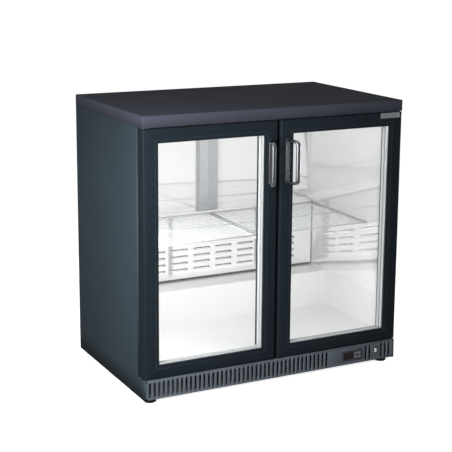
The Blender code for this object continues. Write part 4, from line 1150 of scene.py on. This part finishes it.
def make_machine_room():
    """The compressor on its grommets, drip tray, discharge pipe and condenser, and the evaporator above."""
    x, y, floor = 0.285, 0.224, 0.0171
    plate = prism(rounded_rectangle(around(x, y, 0.085, 0.060), 0.012), "z", floor, floor + 0.003)
    shape = rounded(plate, 0.0006, 2, 60)
    dome = moved([
        (0.0, 0.001), (0.0490, 0.001), (0.0545, 0.008), (0.0575, 0.020), (0.0592, 0.045), (0.0600, 0.068),
        (0.0600, 0.076), (0.0622, 0.0765), (0.0622, 0.0805), (0.0600, 0.081), (0.0600, 0.098),
        (0.0585, 0.110), (0.0545, 0.121), (0.0470, 0.130), (0.0360, 0.1365), (0.0200, 0.1405), (0.0, 0.142),
    ], floor)
    grommet = moved([
        (0.0, 0.003), (0.0090, 0.003), (0.0100, 0.0045), (0.0080, 0.0075),
        (0.0095, 0.0100), (0.0080, 0.0120), (0.0, 0.0120),
    ], floor)
    add(shape, turned(dome, "z", (x, y, 0.0), 56))
    add(shape, box((x - 0.0780, y - 0.022, floor + 0.040), (x - 0.050, y + 0.022, floor + 0.085), 0.004, 3))
    for dx in (-0.070, 0.070):
        for dy in (-0.045, 0.045):
            add(shape, turned(grommet, "z", (x + dx, y + dy, 0.0), 24))
    piece("compressor_shell", shape, "cabinet", "compressor_steel", ["compressor"])

    low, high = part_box("condensate_tray")
    wall, base = 0.0022, 0.002
    tray = prism(rounded_rectangle((low.x, low.y, high.x, high.y), 0.008), "z", low.z, high.z)
    bmesh.ops.recalc_face_normals(tray, faces=tray.faces)
    top = [f for f in tray.faces if f.normal.z > 0.9]
    bmesh.ops.inset_region(tray, faces=top, thickness=wall, depth=0.0)
    for face in bmesh.ops.extrude_discrete_faces(tray, faces=top)["faces"]:
        bmesh.ops.translate(tray, vec=(0, 0, base - (high.z - low.z)), verts=face.verts)
    piece("drip_tray", rounded(tray, 0.0005, 2, 60), "cabinet", "tray_plastic", ["condensate_tray"])

    height, behind = floor + 0.134, y - 0.050
    route = [
        (x - 0.058, y - 0.034, floor + 0.100), (x - 0.070, y - 0.042, floor + 0.110),
        (x - 0.100, behind, height - 0.005), (x - 0.150, behind, height - 0.004),
        (0.060, behind, height - 0.004),
        (0.010, behind + 0.003, height - 0.001), (-0.006, behind + 0.010, height),
    ]
    pipe = sweep(smooth_path(route, 8), oval(0.0036, 0.0036, 16))
    piece("hot_gas_pipe", pipe, "cabinet", "pipe_copper", ["discharge_pipe"], smooth=60)
    finned_coil("condenser", "y", 0.0042)
    finned_coil("evaporator", "x", 0.0060)
    make_fan("evaporator_fan", "y", (0.230, 0.234, 0.345), 0.052, 0.0105)
    make_fan("condenser_fan", "x", (0.020, 0.224, 0.0811), 0.054, 0.019)


def make_shelves():
    """Wire shelves: thin bars from front to back over thicker cross bars and side bars, and plain rails."""
    thick, thin, count = 0.0022, 0.00125, 30
    for side in SIDES:
        low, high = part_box(f"shelf_{side}")
        z_cross, z_bar = low.z + thick, high.z - thin - 0.0001
        shape = bmesh.new()
        for y in (low.y + thick, (low.y + high.y) / 2, high.y - thick):
            add(shape, rod((low.x, y, z_cross), (high.x, y, z_cross), thick, 14))
        for x in (low.x + thick, high.x - thick):
            add(shape, rod((x, low.y, z_cross), (x, high.y, z_cross), thick, 14))
        for i in range(1, count):
            x = low.x + thick + (high.x - low.x - 2 * thick) * i / count
            add(shape, rod((x, low.y + 0.0004, z_bar), (x, high.y - 0.0004, z_bar), thin, 8))
        piece(f"wire_shelf_{side}", shape, "cabinet", "shelf_wire", [f"shelf_{side}"], smooth=60)
    for rail in ("left", "right", "centre"):
        carry_over(f"shelf_rail_{rail}", "liner_aluminium", 0.0004)


def make_lamp():
    """A tube lamp with end caps under the ceiling, near the front."""
    low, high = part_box("interior_lamp")
    cap, seam, lip = 0.012, 0.0002, high.z - 0.0030
    middle = ((low.y + high.y) / 2, high.z - 0.0052)
    outline = [(low.y, high.z), (high.y, high.z), (high.y, lip)]
    outline += [*arc(middle, 0.0102, -8, -172, 12), (low.y, lip)]
    tube = rounded(prism(outline, "x", low.x + cap, high.x - cap), 0.0004, 2, 70)
    piece("lamp_tube", tube, "cabinet", "lamp_diffuser", ["interior_lamp"])
    caps = bmesh.new()
    for x in (low.x, high.x - cap + seam):
        add(caps, box((x, low.y, low.z + seam), (x + cap - seam, high.y, high.z), 0.0015, 3))
    piece("lamp_caps", caps, "cabinet", "rocker_plastic")


# ---------------------------------------------------------------- stage

def area_light(name, place, target, size, power, colour=(1.0, 1.0, 1.0)):
    data = bpy.data.lights.new(name, "AREA")
    data.shape = "RECTANGLE"
    data.size, data.size_y = size
    data.energy = power
    data.color = colour
    light = bpy.data.objects.new(name, data)
    light.location = place
    light.rotation_euler = (Vector(target) - Vector(place)).to_track_quat("-Z", "Y").to_euler()
    scene.collection.objects.link(light)
    return light


def keep_off(light, names):
    """The light doesn't fall on the pieces of these names."""
    left_out = bpy.data.collections.new(light.name + "_left_out")
    light.light_linking.receiver_collection = left_out
    for name in names:
        left_out.objects.link(bpy.data.objects[name])
    for link in left_out.collection_objects:
        link.light_linking.link_state = "EXCLUDE"


def make_floor():
    """A pale floor that fades into the white studio away from the object. Only the camera sees it."""
    reach = 6.0
    mesh = bpy.data.meshes.new("studio_floor")
    corners = [(-reach, -reach, 0.0), (reach, -reach, 0.0), (reach, reach, 0.0), (-reach, reach, 0.0)]
    mesh.from_pydata(corners, [], [(0, 1, 2, 3)])
    made = bpy.data.materials.new("studio_floor")
    made.use_nodes = True
    nodes = made.node_tree.nodes
    shader = nodes["Principled BSDF"]
    fill(made, shader, {
        "Base Color": (0.92, 0.92, 0.925, 1), "Roughness": 0.85, "Specular IOR Level": 0.1,
        "Emission Color": (1, 1, 1, 1), "Emission Strength": 0.75,
    })
    away = grow(made, "VectorMath", "Value", {0: grow(made, "TexCoord", "Object")}, operation="LENGTH")
    fade = grow(made, "MapRange", "Result", {"Value": away, "From Min": 0.75, "From Max": 1.9},
                interpolation_type="SMOOTHSTEP")
    seen = grow(made, "LightPath", "Is Camera Ray")
    unseen = grow(made, "Math", "Value", {0: 1.0, 1: seen}, operation="SUBTRACT")
    share = grow(made, "Math", "Value", {0: fade, 1: unseen}, operation="MAXIMUM")
    clear = grow(made, "BsdfTransparent", "BSDF")
    mix = grow(made, "MixShader", "Shader", {"Fac": share, 1: shader.outputs["BSDF"], 2: clear})
    fill(made, nodes["Material Output"], {"Surface": mix})
    mesh.materials.append(made)
    floor = bpy.data.objects.new("studio_floor", mesh)
    scene.collection.objects.link(floor)


def make_world():
    """White to the eye, and a dimmer soft dome to everything it lights."""
    world = bpy.data.worlds.new("studio")
    scene.world = world
    world.use_nodes = True
    nodes = world.node_tree.nodes
    dome = nodes["Background"]
    fill(world, dome, {"Color": (0.93, 0.96, 1.0, 1), "Strength": 0.12})
    white = grow(world, "Background", "Background", {"Color": (1, 1, 1, 1), "Strength": 1.05})
    seen = grow(world, "LightPath", "Is Camera Ray")
    mix = grow(world, "MixShader", "Shader", {"Fac": seen, 1: dome.outputs["Background"], 2: white})
    fill(world, nodes["World Output"], {"Surface": mix})


def make_lights():
    """A softbox at the front left with a dim card before it for reflections, fills, and light inside."""
    key_place, key_target, key_size = (-1.15, -1.15, 0.92), (-0.30, -0.20, 0.50), (0.9, 1.2)
    key = area_light("key", key_place, key_target, key_size, 65, (0.97, 0.98, 1.0))
    key.visible_glossy = False
    card = area_light("key_card", (-1.13, -1.13, 0.91), key_target, key_size, 8)
    card.visible_diffuse = False
    keep_off(key, COLD_SPACE)
    keep_off(card, COLD_SPACE + ("worktop_pan",))
    area_light("top", (0.0, 0.0, 3.2), (0.0, 0.0, 0.0), (3.0, 3.0), 10)
    area_light("side", (-3.2, 0.0, 1.3), (-0.45, 0.1, 0.45), (1.4, 1.4), 14, (0.94, 0.97, 1.0))
    area_light("far_side", (2.6, 0.4, 0.50), (0.45, 0.1, 0.42), (1.6, 0.7), 45)
    area_light("behind", (0.7, 2.8, 0.45), (0.1, 0.30, 0.40), (1.6, 0.7), 16)
    area_light("cold_space_front", (0.0, -0.200, 0.455), (0.0, 0.2, 0.455), (0.79, 0.69), 1.8)
    low = area_light("cold_space_low", (0.0, -0.200, 0.26), (0.0, 0.124, 0.17), (0.79, 0.26), 0.45)
    left = area_light("cold_space_left", (-0.398, -0.10, 0.50), (0.4, -0.04, 0.50), (0.20, 0.56), 3.2)
    for light in (low, left):
        light.visible_glossy = False


def make_camera():
    data = bpy.data.cameras.new("camera")
    data.lens = CAMERA_LENS
    data.sensor_width = 36.0
    data.shift_x, data.shift_y = CAMERA_SHIFT
    data.clip_start, data.clip_end = 0.05, 60.0
    camera = bpy.data.objects.new("camera", data)
    turn = (
        Matrix.Rotation(math.radians(-CAMERA_YAW), 4, "Z")
        @ Matrix.Rotation(math.radians(90 + CAMERA_PITCH), 4, "X")
        @ Matrix.Rotation(math.radians(CAMERA_ROLL), 4, "Z")
    )
    camera.matrix_world = Matrix.Translation(CAMERA_PLACE) @ turn
    scene.collection.objects.link(camera)
    scene.camera = camera
    scene.view_settings.view_transform = "Standard"
    scene.view_settings.look = "None"


def main():
    make_camera()
    make_finishes()
    make_worktop()
    for side, sign in SIDES.items():
        make_side_panel(side, sign)
        make_door(side, sign)
    make_badge()
    make_rear_panel()
    make_feet()
    make_liner()
    make_grille()
    make_controller()
    make_lamp_switch()
    make_hinges()
    make_cover()
    make_machine_room()
    make_shelves()
    make_lamp()
    make_floor()
    make_world()
    make_lights()


main()
